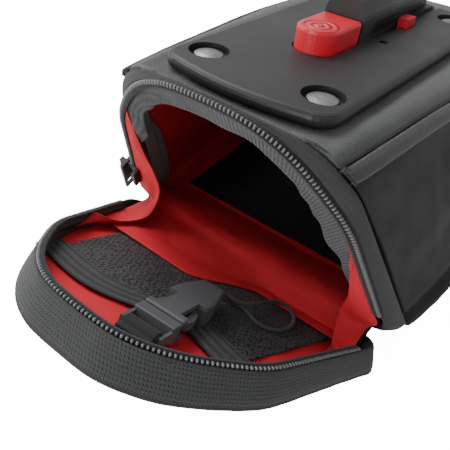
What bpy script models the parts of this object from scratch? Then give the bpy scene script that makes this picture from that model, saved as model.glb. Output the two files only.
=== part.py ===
# Saddle bag with a quick-release adapter plate, a zipped dish-shaped rear flap and a key holder.
# Metres, +Z up, X across the bag, the mouth faces -Y. The bag stands on its flat underside,
# whose centre is the origin. The flap is modelled open, as far as its gussets let it.

from math import atan2, cos, pi, radians, sin, tan

import bmesh
import bpy
from mathutils import Matrix, Vector

mm = 0.001

# Driving dimensions
gap = 0.3 * mm                  # air between pieces that touch
hinge_y = -70 * mm              # the flap's hinge line, along X at the bottom of the mouth
hinge_z = 12 * mm
mouth_bottom_width = 114 * mm
mouth_top_width = 72 * mm
mouth_height = 76.7 * mm
mouth_arch = 6.7 * mm
mouth_top_radius = 37 * mm
mouth_bottom_radius = 7 * mm
mouth_tilt = radians(15.6)      # the mouth's top overhangs towards -Y
flap_opening = radians(39.6)    # how far the gussets let the flap open
flap_depth = 9.9 * mm
flap_growth = 0.04              # the flap's outer panel is this much larger than the mouth
skin_thickness = 2 * mm
tape_thickness = 0.6 * mm
chain_start = 0.6 * mm          # half the distance between the two zip chains
chain_end = 2.2 * mm
fabric_edge = 2.5 * mm          # where the fabric starts beside the chain
plate_slope = radians(9.5)      # the top falls towards the nose
plate_top_z = 87.3 * mm         # height of the plate's top plane straight above the hinge
plate_thickness = 4 * mm
plate_front = -10.6 * mm
plate_rear = 116 * mm
plate_front_half = 27.6 * mm
plate_rear_half = 30 * mm
rivet_x = 18.9 * mm
rivet_rows = (4 * mm, 104 * mm)
rivet_hole_radius = 2.3 * mm
button_half = 6.9 * mm
button_front = 25.5 * mm
button_back = 47.2 * mm
button_height = 6.6 * mm
barrel_radius = 7 * mm
buckle_length = 37 * mm
buckle_height = 6.5 * mm
cord_radius = 0.65 * mm
buckle_bar = (13.2, 73.5)      # on the flap, in mm: the bar at the rim end, and the closed end
buckle_tip = (9.4, 36.5)

palette = {
    "top_fabric": ((0.075, 0.077, 0.080), 0.85, 0.0),
    "side_fabric": ((0.028, 0.028, 0.030), 0.60, 0.0),
    "collar_fabric": ((0.050, 0.052, 0.054), 0.88, 0.0),
    "red_lining": ((0.42, 0.018, 0.030), 0.65, 0.0),
    "black_mesh": ((0.012, 0.012, 0.013), 0.80, 0.0),
    "black_webbing": ((0.020, 0.020, 0.022), 0.80, 0.0),
    "zip_tape": ((0.060, 0.062, 0.065), 0.80, 0.0),
    "zip_chain": ((0.030, 0.030, 0.032), 0.35, 0.0),
    "dark_plastic": ((0.070, 0.074, 0.080), 0.45, 0.0),
    "red_plastic": ((0.60, 0.020, 0.030), 0.40, 0.0),
    "satin_metal": ((0.62, 0.61, 0.60), 0.35, 1.0),
    "black_cord": ((0.020, 0.021, 0.023), 0.55, 0.0),
}

# The body's cross-sections from the mouth to the nose, all lengths in mm. Each row holds the
# bottom's y behind the hinge, its z, the tilt in degrees, the bottom and top half widths, how far
# the top lies under the plate's plane, the arch of the top and the two corner radii.
body_rows = (
    (0, 12, 15.6, 57.0, 36.0, 4.9, 6.7, 37, 7),
    (13, 5, 19.3, 60.5, 37.0, 4.4, 2.7, 20, 7),
    (18.5, 2, 19.0, 62.5, 37.8, 4.3, 0.0, 14, 8),
    (45, 0, 13.0, 67.0, 40.5, 4.3, 0.0, 9, 9),
    (80, 0, 8.0, 66.5, 44.5, 4.3, 0.0, 9, 10),
    (112, 0, 3.0, 60.0, 42.5, 4.3, 0.0, 9, 12),
    (142, 5, 0.0, 45.0, 35.0, 7.0, 0.0, 10, 14),
    (158, 14, -4.0, 27.0, 25.0, 12.0, 0.0, 10, 12),
)
seam_row = 1                    # the collar ends here and the panels start
nose_row = len(body_rows) - 1


def clear_scene():
    for old in list(bpy.data.objects):
        bpy.data.objects.remove(old, do_unlink=True)


def material(name):
    found = bpy.data.materials.get(name)
    if found:
        return found
    color, roughness, metallic = palette[name]
    made = bpy.data.materials.new(name)
    made.use_nodes = True
    shader = made.node_tree.nodes["Principled BSDF"]
    shader.inputs["Base Color"].default_value = (*color, 1)
    shader.inputs["Roughness"].default_value = roughness
    shader.inputs["Metallic"].default_value = metallic
    return made


def add_object(name, points, faces, look):
    mesh = bpy.data.meshes.new(name)
    mesh.from_pydata([tuple(p) for p in points], [], faces)
    mesh.materials.append(material(look))
    made = bpy.data.objects.new(name, mesh)
    bpy.context.collection.objects.link(made)
    return made


def cut(target, cutter, operation="DIFFERENCE"):
    cutter.hide_render = True
    cutter.display_type = "WIRE"
    step = target.modifiers.new(operation.lower(), "BOOLEAN")
    step.operation = operation
    step.solver = "EXACT"
    step.object = cutter


# Outlines ------------------------------------------------------------------------------------

def fillet(before, corner, after, radius, steps):
    """Points of the arc that rounds a corner."""
    to_before = (before - corner).normalized()
    to_after = (after - corner).normalized()
    half_angle = to_before.angle(to_after) / 2
    centre = corner + (to_before + to_after).normalized() * (radius / sin(half_angle))
    start = corner + to_before * (radius / tan(half_angle)) - centre
    end = corner + to_after * (radius / tan(half_angle)) - centre
    turn = atan2(start.x * end.y - start.y * end.x, start.dot(end))
    return [centre + Matrix.Rotation(turn * i / steps, 2) @ start for i in range(steps + 1)]


class Outline:
    """Rounded trapezoid with an arched top. Arc positions run from the bottom's centre,
    positive towards +X, up the side to the top's centre."""

    def __init__(self, half_bottom, half_top, height, arch, top_radius, bottom_radius):
        low_centre = Vector((0, 0))
        low_corner = Vector((half_bottom, 0))
        high_corner = Vector((half_top, height))
        high_centre = Vector((0, height))
        low = fillet(low_centre, low_corner, high_corner, bottom_radius, 8)
        high = fillet(low_corner, high_corner, high_centre, top_radius, 16)
        top = [high_centre.lerp(high[-1], 1 - i / 8) for i in range(1, 9)]
        points = [low_centre] + low + high + top
        self.points = [self.raise_arch(p, half_top, height, arch) for p in points]
        self.lengths = [0.0]
        for a, b in zip(self.points, self.points[1:]):
            self.lengths.append(self.lengths[-1] + (b - a).length)
        self.total = self.lengths[-1]
        self.low_corner = self.lengths[1 + 4]
        self.side_start = self.lengths[1 + 8]
        self.side_end = self.lengths[1 + 9]
        self.high_corner = self.lengths[1 + 9 + 8]

    @staticmethod
    def raise_arch(point, half_top, height, arch):
        share = max(0.0, min(1.0, (point.y / height - 0.6) / 0.4))
        rise = arch * max(0.0, 1 - (point.x / half_top) ** 2) * share * share * (3 - 2 * share)
        return Vector((point.x, point.y + rise))

    def spot(self, arc):
        arc = max(0.0, min(self.total, arc))
        i = max(k for k, length in enumerate(self.lengths[:-1]) if length <= arc + 1e-12)
        run = self.lengths[i + 1] - self.lengths[i]
        return self.points[i].lerp(self.points[i + 1], (arc - self.lengths[i]) / run)

    def at(self, arc, inset=0.0):
        """The point at an arc position, moved inwards by inset."""
        side = -1 if arc < 0 else 1
        place = min(abs(arc), 2 * self.total - abs(arc))
        if abs(arc) > self.total:
            side = -side
        step = 0.4 * mm
        ahead = self.spot(place + step)
        behind = self.spot(place - step)
        if place < step:
            behind = Vector((-self.spot(step - place).x, 0))
        if place > self.total - step:
            mirrored = self.spot(2 * self.total - place - step)
            ahead = Vector((-mirrored.x, mirrored.y))
        along = (ahead - behind).normalized()
        point = self.spot(place) + Vector((-along.y, along.x)) * inset
        return Vector((point.x * side, point.y))


def in_plane(uv, base_y, base_z, tilt, depth=0.0):
    """A point of a plane that contains X and leans towards -Y by tilt, depth outwards of it."""
    y = base_y - uv.y * sin(tilt) - depth * cos(tilt)
    z = base_z + uv.y * cos(tilt) - depth * sin(tilt)
    return Vector((uv.x, y, z))


mouth_outline = Outline(mouth_bottom_width / 2, mouth_top_width / 2, mouth_height, mouth_arch,
                        mouth_top_radius, mouth_bottom_radius)
outline_centre = Vector((0, mouth_height / 2))
flap_tilt = mouth_tilt + flap_opening


def plate_plane(y):
    """Height of the plate's top plane at a distance behind the hinge."""
    return plate_top_z - tan(plate_slope) * y


def catmull(row_a, row_b, row_c, row_d, t):
    mixed = []
    for a, b, c, d in zip(row_a, row_b, row_c, row_d):
        mixed.append(0.5 * (2 * b + (c - a) * t + (2 * a - 5 * b + 4 * c - d) * t * t
                            + (3 * b - a - 3 * c + d) * t ** 3))
    return mixed


class Section:
    """The body's cross-section at a position between rows of body_rows."""
    made = {}

    def __init__(self, t):
        i = max(0, min(nose_row - 1, int(t)))
        rows = [body_rows[max(0, min(nose_row, k))] for k in (i - 1, i, i + 1, i + 2)]
        y, z, tilt, low, high, drop, arch, r_high, r_low = catmull(*rows, t - i)
        self.y = y * mm
        self.z = max(0.0, z) * mm
        self.tilt = radians(tilt)
        slope = tan(plate_slope)
        top = plate_plane(self.y) - drop * mm
        height = (top - self.z) / (cos(self.tilt) - slope * sin(self.tilt))
        self.outline = Outline(low * mm, high * mm, height, max(0.0, arch) * mm, r_high * mm, r_low * mm)

    @classmethod
    def get(cls, t):
        key = round(t, 4)
        if key not in cls.made:
            cls.made[key] = cls(t)
        return cls.made[key]

    def place(self, arc, inset):
        return in_plane(self.outline.at(arc, inset), hinge_y + self.y, self.z, self.tilt)


def mouth_place(arc, inset, back):
    """A point on the mouth's wall, back from the mouth's edge towards the collar's seam."""
    edge = in_plane(mouth_outline.at(arc, inset), hinge_y, hinge_z, mouth_tilt)
    seam = Section.get(seam_row)
    target = seam.place(arc / mouth_outline.total * seam.outline.total, inset)
    return edge + (target - edge).normalized() * back


def flap_place(arc, inset, depth):
    """A point on the flap's wall; the wall flares with depth."""
    flare = 1 + flap_growth * (max(0.0, depth) / flap_depth) ** 2
    uv = outline_centre + (mouth_outline.at(arc, inset) - outline_centre) * flare
    return in_plane(uv, hinge_y, hinge_z, flap_tilt, depth)


def flap_point(u, v, depth):
    return in_plane(Vector((u, v)), hinge_y, hinge_z, flap_tilt, depth)


# Shells --------------------------------------------------------------------------------------

def shell(name, outer, inner, look, wrap=False):
    """Closed solid between two grids of points, each a list of rows."""
    rows = len(outer)
    columns = len(outer[0])
    points = [p for grid in (outer, inner) for row in grid for p in row]
    second = rows * columns

    def index(r, c, side):
        return side * second + r * columns + c % columns

    faces = []
    spans = columns if wrap else columns - 1
    for r in range(rows - 1):
        for c in range(spans):
            faces.append((index(r, c, 0), index(r, c + 1, 0), index(r + 1, c + 1, 0), index(r + 1, c, 0)))
            faces.append((index(r, c, 1), index(r + 1, c, 1), index(r + 1, c + 1, 1), index(r, c + 1, 1)))
    for c in range(spans):
        faces.append((index(0, c, 0), index(0, c, 1), index(0, c + 1, 1), index(0, c + 1, 0)))
        last = rows - 1
        faces.append((index(last, c, 0), index(last, c + 1, 0), index(last, c + 1, 1), index(last, c, 1)))
    if not wrap:
        for r in range(rows - 1):
            end = columns - 1
            faces.append((index(r, 0, 0), index(r + 1, 0, 0), index(r + 1, 0, 1), index(r, 0, 1)))
            faces.append((index(r, end, 0), index(r, end, 1), index(r + 1, end, 1), index(r + 1, end, 0)))
    made = add_object(name, points, faces, look)
    fix_normals(made)
    return made


def fix_normals(target):
    work = bmesh.new()
    work.from_mesh(target.data)
    bmesh.ops.recalc_face_normals(work, faces=work.faces)
    if work.calc_volume(signed=True) < 0:
        bmesh.ops.reverse_faces(work, faces=work.faces)
    work.to_mesh(target.data)
    work.free()


def spread(start, end, count):
    """Positions from start to end, closer together towards both ends."""
    return [start + (end - start) * (1 - cos(pi * i / count)) / 2 for i in range(count + 1)]


def around(count):
    """Evenly spread arc positions once round an outline, as shares of half its length."""
    return [-1 + 2 * i / count for i in range(count)]


def body_panel(name, look, rows, arc_range, columns, outer=0.0, thickness=skin_thickness):
    """A panel of the body between two arc positions, which arc_range gives for each section."""
    grids = ([], [])
    for t in rows:
        section = Section.get(t)
        start, end = arc_range(section.outline)
        for grid, inset in zip(grids, (outer, outer + thickness)):
            grid.append([section.place(arc, inset) for arc in spread(start, end, columns)])
    return shell(name, *grids, look)


def steps_between(start, end, count):
    return [start + (end - start) * i / count for i in range(count + 1)]


panel_rows = steps_between(seam_row + 0.06, nose_row, 14)


def add_body():
    panel_gap = gap / 2
    body_panel("top_panel", "top_fabric", panel_rows,
               lambda o: (o.high_corner + panel_gap, 2 * o.total - o.high_corner - panel_gap), 8)
    body_panel("bottom_panel", "side_fabric", panel_rows,
               lambda o: (-o.low_corner + panel_gap, o.low_corner - panel_gap), 8)
    for side, word in ((1, "right"), (-1, "left")):
        body_panel("side_panel_" + word, "side_fabric", panel_rows,
                   lambda o, s=side: (s * (o.low_corner + panel_gap), s * (o.high_corner - panel_gap)), 8)
        body_panel("piping_" + word, "collar_fabric", panel_rows,
                   lambda o, s=side: (s * (o.high_corner - 5.6 * mm), s * (o.high_corner - 0.6 * mm)), 2,
                   outer=-1.7 * mm, thickness=1.4 * mm)
    add_nose()
    add_collar()
    add_lining()


def add_nose():
    """Domed end panel inside the panels' front edges."""
    section = Section.get(nose_row)
    shares = around(28)
    grids = ([], [])
    for away, grid in zip((skin_thickness + gap, gap), grids):
        for inward, swell in ((0.0, 0.0), (0.3, 3.0), (0.65, 4.5)):
            ring = []
            for share in shares:
                uv = section.outline.at(share * section.outline.total)
                middle = Vector((0, section.outline.points[-1].y / 2))
                uv = uv.lerp(middle, inward)
                ring.append(in_plane(uv, hinge_y + section.y, section.z, section.tilt,
                                     -swell * mm - away))
            grid.append(ring)
    outer, inner = grids
    capped_shell("nose_panel", outer, inner, "side_fabric")


def capped_shell(name, outer, inner, look):
    """Like shell with wrap, and the last row of each grid is closed by one face."""
    rows = len(outer)
    columns = len(outer[0])
    points = [p for grid in (outer, inner) for row in grid for p in row]
    second = rows * columns
    faces = []
    for c in range(columns):
        d = (c + 1) % columns
        for r in range(rows - 1):
            a, b = r * columns, (r + 1) * columns
            faces.append((a + c, a + d, b + d, b + c))
            faces.append((second + a + c, second + b + c, second + b + d, second + a + d))
        faces.append((c, second + c, second + d, d))
    last = (rows - 1) * columns
    faces.append(tuple(last + c for c in range(columns)))
    faces.append(tuple(second + last + c for c in reversed(range(columns))))
    made = add_object(name, points, faces, look)
    fix_normals(made)
    return made


def add_collar():
    """Fabric band round the mouth, from beside the zip to the seam with the panels."""
    seam = Section.get(seam_row)
    grids = ([], [])
    for grid, inset in zip(grids, (0.0, skin_thickness)):
        starts = [mouth_place(share * mouth_outline.total, inset, fabric_edge) for share in around(48)]
        ends = [seam.place(share * seam.outline.total, inset) for share in around(48)]
        for k in range(4):
            grid.append([a.lerp(b, k / 3) for a, b in zip(starts, ends)])
    shell("mouth_collar", *grids, "collar_fabric", wrap=True)


def add_lining():
    """Thin red cup inside the panels, open at the mouth."""
    rows = steps_between(seam_row + 1.15, nose_row - 0.25, 10)
    grids = ([], [])
    for grid, inset in zip(grids, (3.9 * mm, 4.7 * mm)):
        for t in rows:
            section = Section.get(t)
            shift = (inset - 3.9 * mm) if t == rows[-1] else 0.0
            ring = [section.place(share * section.outline.total, inset) for share in around(36)]
            grid.append([p - Vector((0, shift, 0)) for p in ring])
    capped_shell("body_lining", *grids, "red_lining")
    inner_pocket_rows = steps_between(2.2, 4.2, 6)
    body_panel("inner_pocket", "black_mesh", inner_pocket_rows,
               lambda o: (-(o.side_start + 6 * mm), -(o.side_end - 8 * mm)), 4,
               outer=5.0 * mm, thickness=0.8 * mm)


# Zip -----------------------------------------------------------------------------------------

def ribbon(name, look, place, arcs, insets, depths):
    """Band that follows the mouth's outline between two insets and two depths."""
    grids = ([], [])
    for grid, inset in zip(grids, insets):
        for depth in depths:
            grid.append([place(arc, inset, depth) for arc in arcs])
    return shell(name, *grids, look)


def add_zip():
    start = mouth_outline.side_start + 7 * mm
    round_top = 2 * mouth_outline.total
    arcs = [start + (round_top - 2 * start) * i / 44 for i in range(45)]
    for word, place in (("mouth", mouth_place), ("flap", flap_place)):
        chain = (chain_start, chain_end)
        tape = (chain_start, 3 * mm, 5.5 * mm)
        ribbon("zip_chain_" + word, "zip_chain", place, arcs, (0.2 * mm, 1.9 * mm), chain)
        ribbon("zip_tape_" + word, "zip_tape", place, arcs,
               (2.3 * mm, 2.3 * mm + tape_thickness), tape)


def add_slider():
    """Slider parked at the foot of the zip on the left, with its pull hanging down."""
    arc = mouth_outline.side_start + 12 * mm
    uv = mouth_outline.at(-arc)
    ahead = mouth_outline.at(-arc - 1 * mm)
    along_uv = (ahead - uv).normalized()
    origin = in_plane(uv, hinge_y, hinge_z, mouth_tilt)
    along = in_plane(uv + along_uv, hinge_y, hinge_z, mouth_tilt) - origin
    outward_uv = Vector((-along_uv.y, along_uv.x))
    if outward_uv.x > 0:
        outward_uv = -outward_uv
    outward = in_plane(uv + outward_uv, hinge_y, hinge_z, mouth_tilt) - origin
    across = along.cross(outward)
    frame = bpy.data.objects.new("slider_frame", None)
    bpy.context.collection.objects.link(frame)
    turn = Matrix((across, along, outward)).transposed().to_4x4()
    frame.matrix_world = Matrix.Translation(origin) @ turn
    outer = add_box("zip_slider", "satin_metal", (-3.2, 3.2), (-4.5, 4.5), (1.0, 2.2))
    inner = add_box("slider_inner_plate", "satin_metal", (-3.2, 3.2), (-4.5, 4.5), (-4.5, -3.3))
    post = add_box("slider_post", "satin_metal", (-0.3, 0.3), (0.5, 4.2), (-4.0, 1.4))
    bridge_far = add_box("slider_bridge_far", "satin_metal", (-1.0, 1.0), (2.4, 3.4), (1.9, 4.6))
    bridge_top = add_box("slider_bridge_top", "satin_metal", (-1.0, 1.0), (-3.0, 3.4), (3.8, 4.6))
    bridge_near = add_box("slider_bridge_near", "satin_metal", (-1.0, 1.0), (-3.0, -2.0), (1.9, 4.6))
    for piece in (outer, inner, post, bridge_far, bridge_top, bridge_near):
        piece.parent = frame
    for piece in (inner, post, bridge_far, bridge_top, bridge_near):
        cut(outer, piece, "UNION")
    pull = add_box("zip_pull", "satin_metal", (-2.4, 2.4), (-15.5, 0.9), (2.5, 3.5))
    window = add_box("pull_window", "satin_metal", (-1.4, 1.4), (-4.6, -0.1), (1.0, 5.0))
    hole = add_box("pull_hole", "satin_metal", (-1.2, 1.2), (-13.6, -11.0), (1.0, 5.0))
    for piece in (pull, window, hole):
        piece.parent = frame
    cut(pull, window)
    cut(pull, hole)


def add_box(name, look, xs, ys, zs, bevel=0.0):
    """Box from its limits in millimetres, with its origin at its frame's origin."""
    points = [Vector((x, y, z)) * mm for z in zs for y in ys for x in xs]
    faces = [(0, 2, 3, 1), (4, 5, 7, 6), (0, 1, 5, 4), (2, 6, 7, 3), (0, 4, 6, 2), (1, 3, 7, 5)]
    made = add_object(name, points, faces, look)
    if bevel:
        step = made.modifiers.new("bevel", "BEVEL")
        step.width = bevel * mm
        step.segments = 2
    return made


# Flap ----------------------------------------------------------------------------------------

def add_tube(name, look, near, far):
    """Closed prism between two rings of points."""
    count = len(near)
    faces = [tuple(range(count)), tuple(count + i for i in reversed(range(count)))]
    for i in range(count):
        j = (i + 1) % count
        faces.append((i, j, count + j, count + i))
    made = add_object(name, near + far, faces, look)
    fix_normals(made)
    return made


def flap_slab(name, look, inset, depths):
    """Slab that fills the flap's outline, between two depths."""
    rings = []
    for depth in depths:
        rings.append([flap_place(share * mouth_outline.total, inset, depth) for share in around(48)])
    return add_tube(name, look, *rings)


def add_flap():
    arcs = [share * mouth_outline.total for share in around(48)]
    grids = ([], [])
    for grid, inset in zip(grids, (0.0, skin_thickness)):
        for depth in (fabric_edge, 5 * mm, 7.5 * mm, flap_depth):
            grid.append([flap_place(arc, inset, depth) for arc in arcs])
    shell("flap_band", *grids, "collar_fabric", wrap=True)
    flap_slab("flap_panel", "top_fabric", skin_thickness + gap,
              (flap_depth - 1.8 * mm, flap_depth + 0.6 * mm))
    flap_slab("flap_lining", "red_lining", 3.4 * mm, (flap_depth - 2.9 * mm, flap_depth - 2.1 * mm))
    floor = flap_depth - 2.9 * mm
    add_prism("mesh_pocket", "black_mesh", [(-40, 6), (42, 6), (37, 34), (32, 49), (-34, 49), (-39, 34)],
              (floor - 1.1 * mm, floor - gap))
    add_prism("pocket_elastic", "black_webbing", [(-37, 49.6), (36.5, 49.6), (33, 59.4), (-33, 59.4)],
              (floor - 1.3 * mm, floor - gap))
    add_hinge()
    add_gussets()
    add_key_holder(floor - 1.3 * mm)


def add_prism(name, look, outline, depths):
    """Flat piece on the flap's floor; the outline is in mm across and up the flap."""
    return add_tube(name, look, *([flap_point(u * mm, v * mm, depth) for u, v in outline]
                                  for depth in depths))


def add_hinge():
    """Fabric hinge: a soft roll along the hinge line between the collar and the flap."""
    half = mouth_bottom_width / 2 - mouth_bottom_radius - 1 * mm
    add_rod("hinge_strip", "collar_fabric", Vector((-half, hinge_y, hinge_z)),
            Vector((half, hinge_y, hinge_z)), 1.3 * mm, 12)


def add_rod(name, look, start, end, radius, sides):
    bpy.ops.mesh.primitive_cylinder_add(vertices=sides, radius=radius, depth=(end - start).length)
    made = bpy.context.object
    made.name = name
    made.data.name = name
    made.data.materials.append(material(look))
    made.rotation_mode = "QUATERNION"
    made.rotation_quaternion = (end - start).to_track_quat("Z", "Y")
    made.location = (start + end) / 2
    return made


def add_gussets():
    """Triangular red webs that join the mouth's sides to the flap's sides."""
    reach = 48 * mm
    slope = (mouth_bottom_width - mouth_top_width) / 2 / mouth_height
    edge = mouth_bottom_width / 2 - 5.2 * mm
    for side, word in ((1, "right"), (-1, "left")):
        corners = []
        for inset in (0.0, 0.8 * mm):
            low = edge - inset
            high = edge - slope * reach - inset
            root = Vector((side * (low - 2 * mm), 5 * mm))
            top = Vector((side * high, reach))
            corners.append(in_plane(root, hinge_y, hinge_z, mouth_tilt, 1 * mm))
            corners.append(in_plane(top, hinge_y, hinge_z, mouth_tilt, -3 * mm))
            corners.append(in_plane(top, hinge_y, hinge_z, flap_tilt, 2 * mm))
        faces = [(0, 1, 2), (5, 4, 3), (0, 3, 4, 1), (1, 4, 5, 2), (2, 5, 3, 0)]
        made = add_object("gusset_" + word, corners, faces, "red_lining")
        fix_normals(made)


# Key holder ----------------------------------------------------------------------------------

def add_key_holder(rest_depth):
    """Side-release buckle on a short webbing that is sewn to the flap's rim."""
    bar = Vector(buckle_bar) * mm
    tip = Vector(buckle_tip) * mm
    along_uv = (tip - bar).normalized()
    middle = rest_depth - 0.5 * mm - buckle_height / 2
    origin = flap_point(bar.x, bar.y, middle)
    along = flap_point(bar.x + along_uv.x, bar.y + along_uv.y, middle) - origin
    up = flap_point(bar.x, bar.y, middle - 1) - origin
    across = along.cross(up)
    frame = bpy.data.objects.new("buckle_frame", None)
    bpy.context.collection.objects.link(frame)
    frame.matrix_world = Matrix.Translation(origin) @ Matrix((across, along, up)).transposed().to_4x4()
    pieces = add_male() + add_prongs() + add_female() + add_webbing()
    for piece in pieces:
        piece.parent = frame
    add_cord(middle)


def add_male():
    """Buckle half with the webbing bar, two arms, a base block and a guide tongue."""
    male = add_box("buckle_male", "dark_plastic", (-6.2, 6.2), (4.4, 8.4), (-2.7, 2.7), bevel=0.3)
    extras = [add_box("male_arm_right", "dark_plastic", (5.3, 6.2), (-1.0, 5.0), (-1.6, 1.6)),
              add_box("male_arm_left", "dark_plastic", (-6.2, -5.3), (-1.0, 5.0), (-1.6, 1.6)),
              add_box("male_bar", "dark_plastic", (-5.6, 5.6), (-1.0, 1.0), (-1.0, 1.0)),
              add_box("male_tongue", "dark_plastic", (-1.2, 1.2), (8.0, 20.5), (-1.1, 1.1))]
    for extra in extras:
        cut(male, extra, "UNION")
    return [male] + extras


def add_prongs():
    """Spring arms with barbed heads, one on each side of the tongue."""
    pieces = []
    shape = [(2.6, 8.7), (3.9, 8.7), (4.3, 11.6), (6.0, 12.6), (6.1, 15.5), (5.4, 18.4), (3.9, 20.6),
             (2.9, 20.2), (3.6, 17.6), (3.9, 14.5), (3.0, 12.0)]
    for side, word in ((1, "right"), (-1, "left")):
        pieces.append(add_tube("buckle_prong_" + word, "dark_plastic",
                               *([Vector((side * x, y, z)) * mm for x, y in shape] for z in (-1.3, 1.3))))
    return pieces


def add_female():
    """Buckle half that the prongs enter; its closed end holds the key cord."""
    outline = [(-6.2, 8.8), (6.2, 8.8), (6.2, 26.0), (5.6, 29.0), (3.6, buckle_length / mm),
               (-3.6, buckle_length / mm), (-5.6, 29.0), (-6.2, 26.0)]
    half = buckle_height / 2
    female = add_tube("buckle_female", "dark_plastic",
                      *([Vector((x * mm, y * mm, z)) for x, y in outline] for z in (-half, half)))
    step = female.modifiers.new("bevel", "BEVEL")
    step.width = 0.5 * mm
    step.segments = 2
    cutters = [add_box("female_cavity", "dark_plastic", (-8, 8), (8, 21.2), (-1.65, 1.65)),
               add_box("female_window_right", "dark_plastic", (3.4, 8), (11.2, 21.0), (-5, 5)),
               add_box("female_window_left", "dark_plastic", (-8, -3.4), (11.2, 21.0), (-5, 5))]
    for cutter in cutters:
        cut(female, cutter)
    return [female] + cutters


def add_webbing():
    """Short webbing: a loop round the bar and a tail to the flap's rim."""
    radius_in = 1.75 * mm
    radius_out = 2.65 * mm
    half = 4.9 * mm
    half_tail = 0.9 * mm
    tail = -3.5 * mm
    turns = [radians(-150 + 300 * i / 12) for i in range(13)]
    profile = [Vector((0, cos(turn), sin(turn))) * radius_out for turn in turns]
    profile += [Vector((0, tail, half_tail)), Vector((0, tail, -half_tail))]
    webbing = add_tube("key_webbing", "black_webbing",
                       *([p + Vector((x, 0, 0)) for p in profile] for x in (-half, half)))
    eye = add_rod("webbing_eye", "black_webbing", Vector((-9 * mm, 0, 0)), Vector((9 * mm, 0, 0)),
                  radius_in, 16)
    cut(webbing, eye)
    return [webbing, eye]


def smooth_route(points, step):
    """Points of a smooth curve through a route's own points, about a step apart."""
    route = [Vector(p) for p in points]
    dense = []
    for i in range(len(route) - 1):
        ring = [route[max(0, min(len(route) - 1, k))] for k in (i - 1, i, i + 1, i + 2)]
        for k in range(12):
            dense.append(Vector(catmull(*ring, k / 12)))
    dense.append(route[-1])
    kept = [dense[0]]
    for p in dense[1:]:
        if (p - kept[-1]).length >= step:
            kept.append(p)
    if (dense[-1] - kept[-1]).length < step * 0.5:
        kept.pop()
    kept.append(dense[-1])
    return kept


def add_cord(middle):
    """Limp loop of thin cord; both ends enter the buckle's closed end."""
    # Route on the flap, in mm: across, up the flap, and above the buckle's middle plane.
    route = [(10.3, 36.2, 0.0), (10.9, 32.5, -0.9), (12.2, 29.2, -2.6), (14.6, 27.2, -3.1),
             (17.6, 26.8, -3.1), (20.6, 28.4, -3.1), (23.8, 30.2, -3.1), (27.2, 29.8, -3.1),
             (29.8, 26.8, -3.1), (31.0, 22.2, -3.1), (30.6, 16.8, -3.1), (28.4, 11.6, -3.0),
             (24.6, 8.8, -2.6), (20.9, 9.8, -2.4), (18.9, 14.2, -2.4), (18.4, 19.4, -2.2),
             (18.0, 24.2, -1.5), (16.4, 28.0, -1.4), (13.6, 29.8, -1.1), (11.4, 31.0, -0.2),
             (9.7, 33.3, 0.5), (8.5, 36.3, 0.0)]
    places = [flap_point(u * mm, v * mm, middle - up * mm) for u, v, up in route]
    points = smooth_route(places, 3.7 * cord_radius)
    curve = bpy.data.curves.new("key_cord", "CURVE")
    curve.dimensions = "3D"
    curve.bevel_depth = cord_radius
    curve.bevel_resolution = 2
    curve.use_fill_caps = True
    spline = curve.splines.new("POLY")
    spline.points.add(len(points) - 1)
    for target, p in zip(spline.points, points):
        target.co = (*p, 1)
    curve.materials.append(material("black_cord"))
    cord = bpy.data.objects.new("key_cord", curve)
    bpy.context.collection.objects.link(cord)


# Adapter plate -------------------------------------------------------------------------------

def add_plate():
    """Plastic plate with the rail barrel, in a frame that lies on the plate's top plane."""
    frame = bpy.data.objects.new("plate_frame", None)
    bpy.context.collection.objects.link(frame)
    frame.location = (0, hinge_y, plate_plane(0))
    frame.rotation_euler = (-plate_slope, 0, 0)
    outline = plate_outline()
    plate = add_extrusion("adapter_plate", "dark_plastic", outline, -plate_thickness, 0)
    step = plate.modifiers.new("bevel", "BEVEL")
    step.width = 1.6 * mm
    step.segments = 3
    step.limit_method = "ANGLE"
    step.angle_limit = radians(60)
    barrel = add_tube("barrel_body", "dark_plastic", *barrel_profile())
    cut(plate, barrel, "UNION")
    cutters = plate_cutters()
    for cutter in cutters:
        cut(plate, cutter)
    pieces = [plate, barrel] + cutters + add_button() + add_rivets()
    for piece in pieces:
        piece.parent = frame
    return frame


def plate_outline():
    """Plan of the plate: rounded corners and a front edge that bows towards the mouth."""
    bow = 2.6 * mm
    corner = 7 * mm
    front_left = Vector((-plate_front_half, plate_front + bow))
    front_right = Vector((plate_front_half, plate_front + bow))
    rear_right = Vector((plate_rear_half, plate_rear))
    rear_left = Vector((-plate_rear_half, plate_rear))
    middle = Vector((0, plate_front + bow))
    right = fillet(middle, front_right, rear_right, corner, 6)
    back_right = fillet(front_right, rear_right, rear_left, corner, 6)
    back_left = fillet(rear_right, rear_left, front_left, corner, 6)
    left = fillet(rear_left, front_left, middle, corner, 6)
    points = right + back_right + back_left + left
    run = plate_front_half - corner
    bowed = []
    for i in range(1, 8):
        x = -run + 2 * run * i / 8
        bowed.append(Vector((x, plate_front + bow * (x / run) ** 2)))
    return points + bowed


def add_extrusion(name, look, outline, low, high):
    """Prism on an outline in the plate's frame."""
    return add_tube(name, look, *([Vector((p.x, p.y, z)) for p in outline] for z in (low, high)))


def barrel_profile():
    """Round-topped housing of the rail, from behind the button to the plate's rear."""
    steps = 16
    profile = [Vector((barrel_radius, 0, -1 * mm)), Vector((-barrel_radius, 0, -1 * mm))]
    for i in range(steps + 1):
        turn = pi - pi * i / steps
        profile.append(Vector((barrel_radius * cos(turn), 0, button_height + barrel_radius * sin(turn))))
    ends = (button_back + gap, plate_rear - 3 * mm)
    return [[p + Vector((0, y, 0)) for p in profile] for y in ends]


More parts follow.
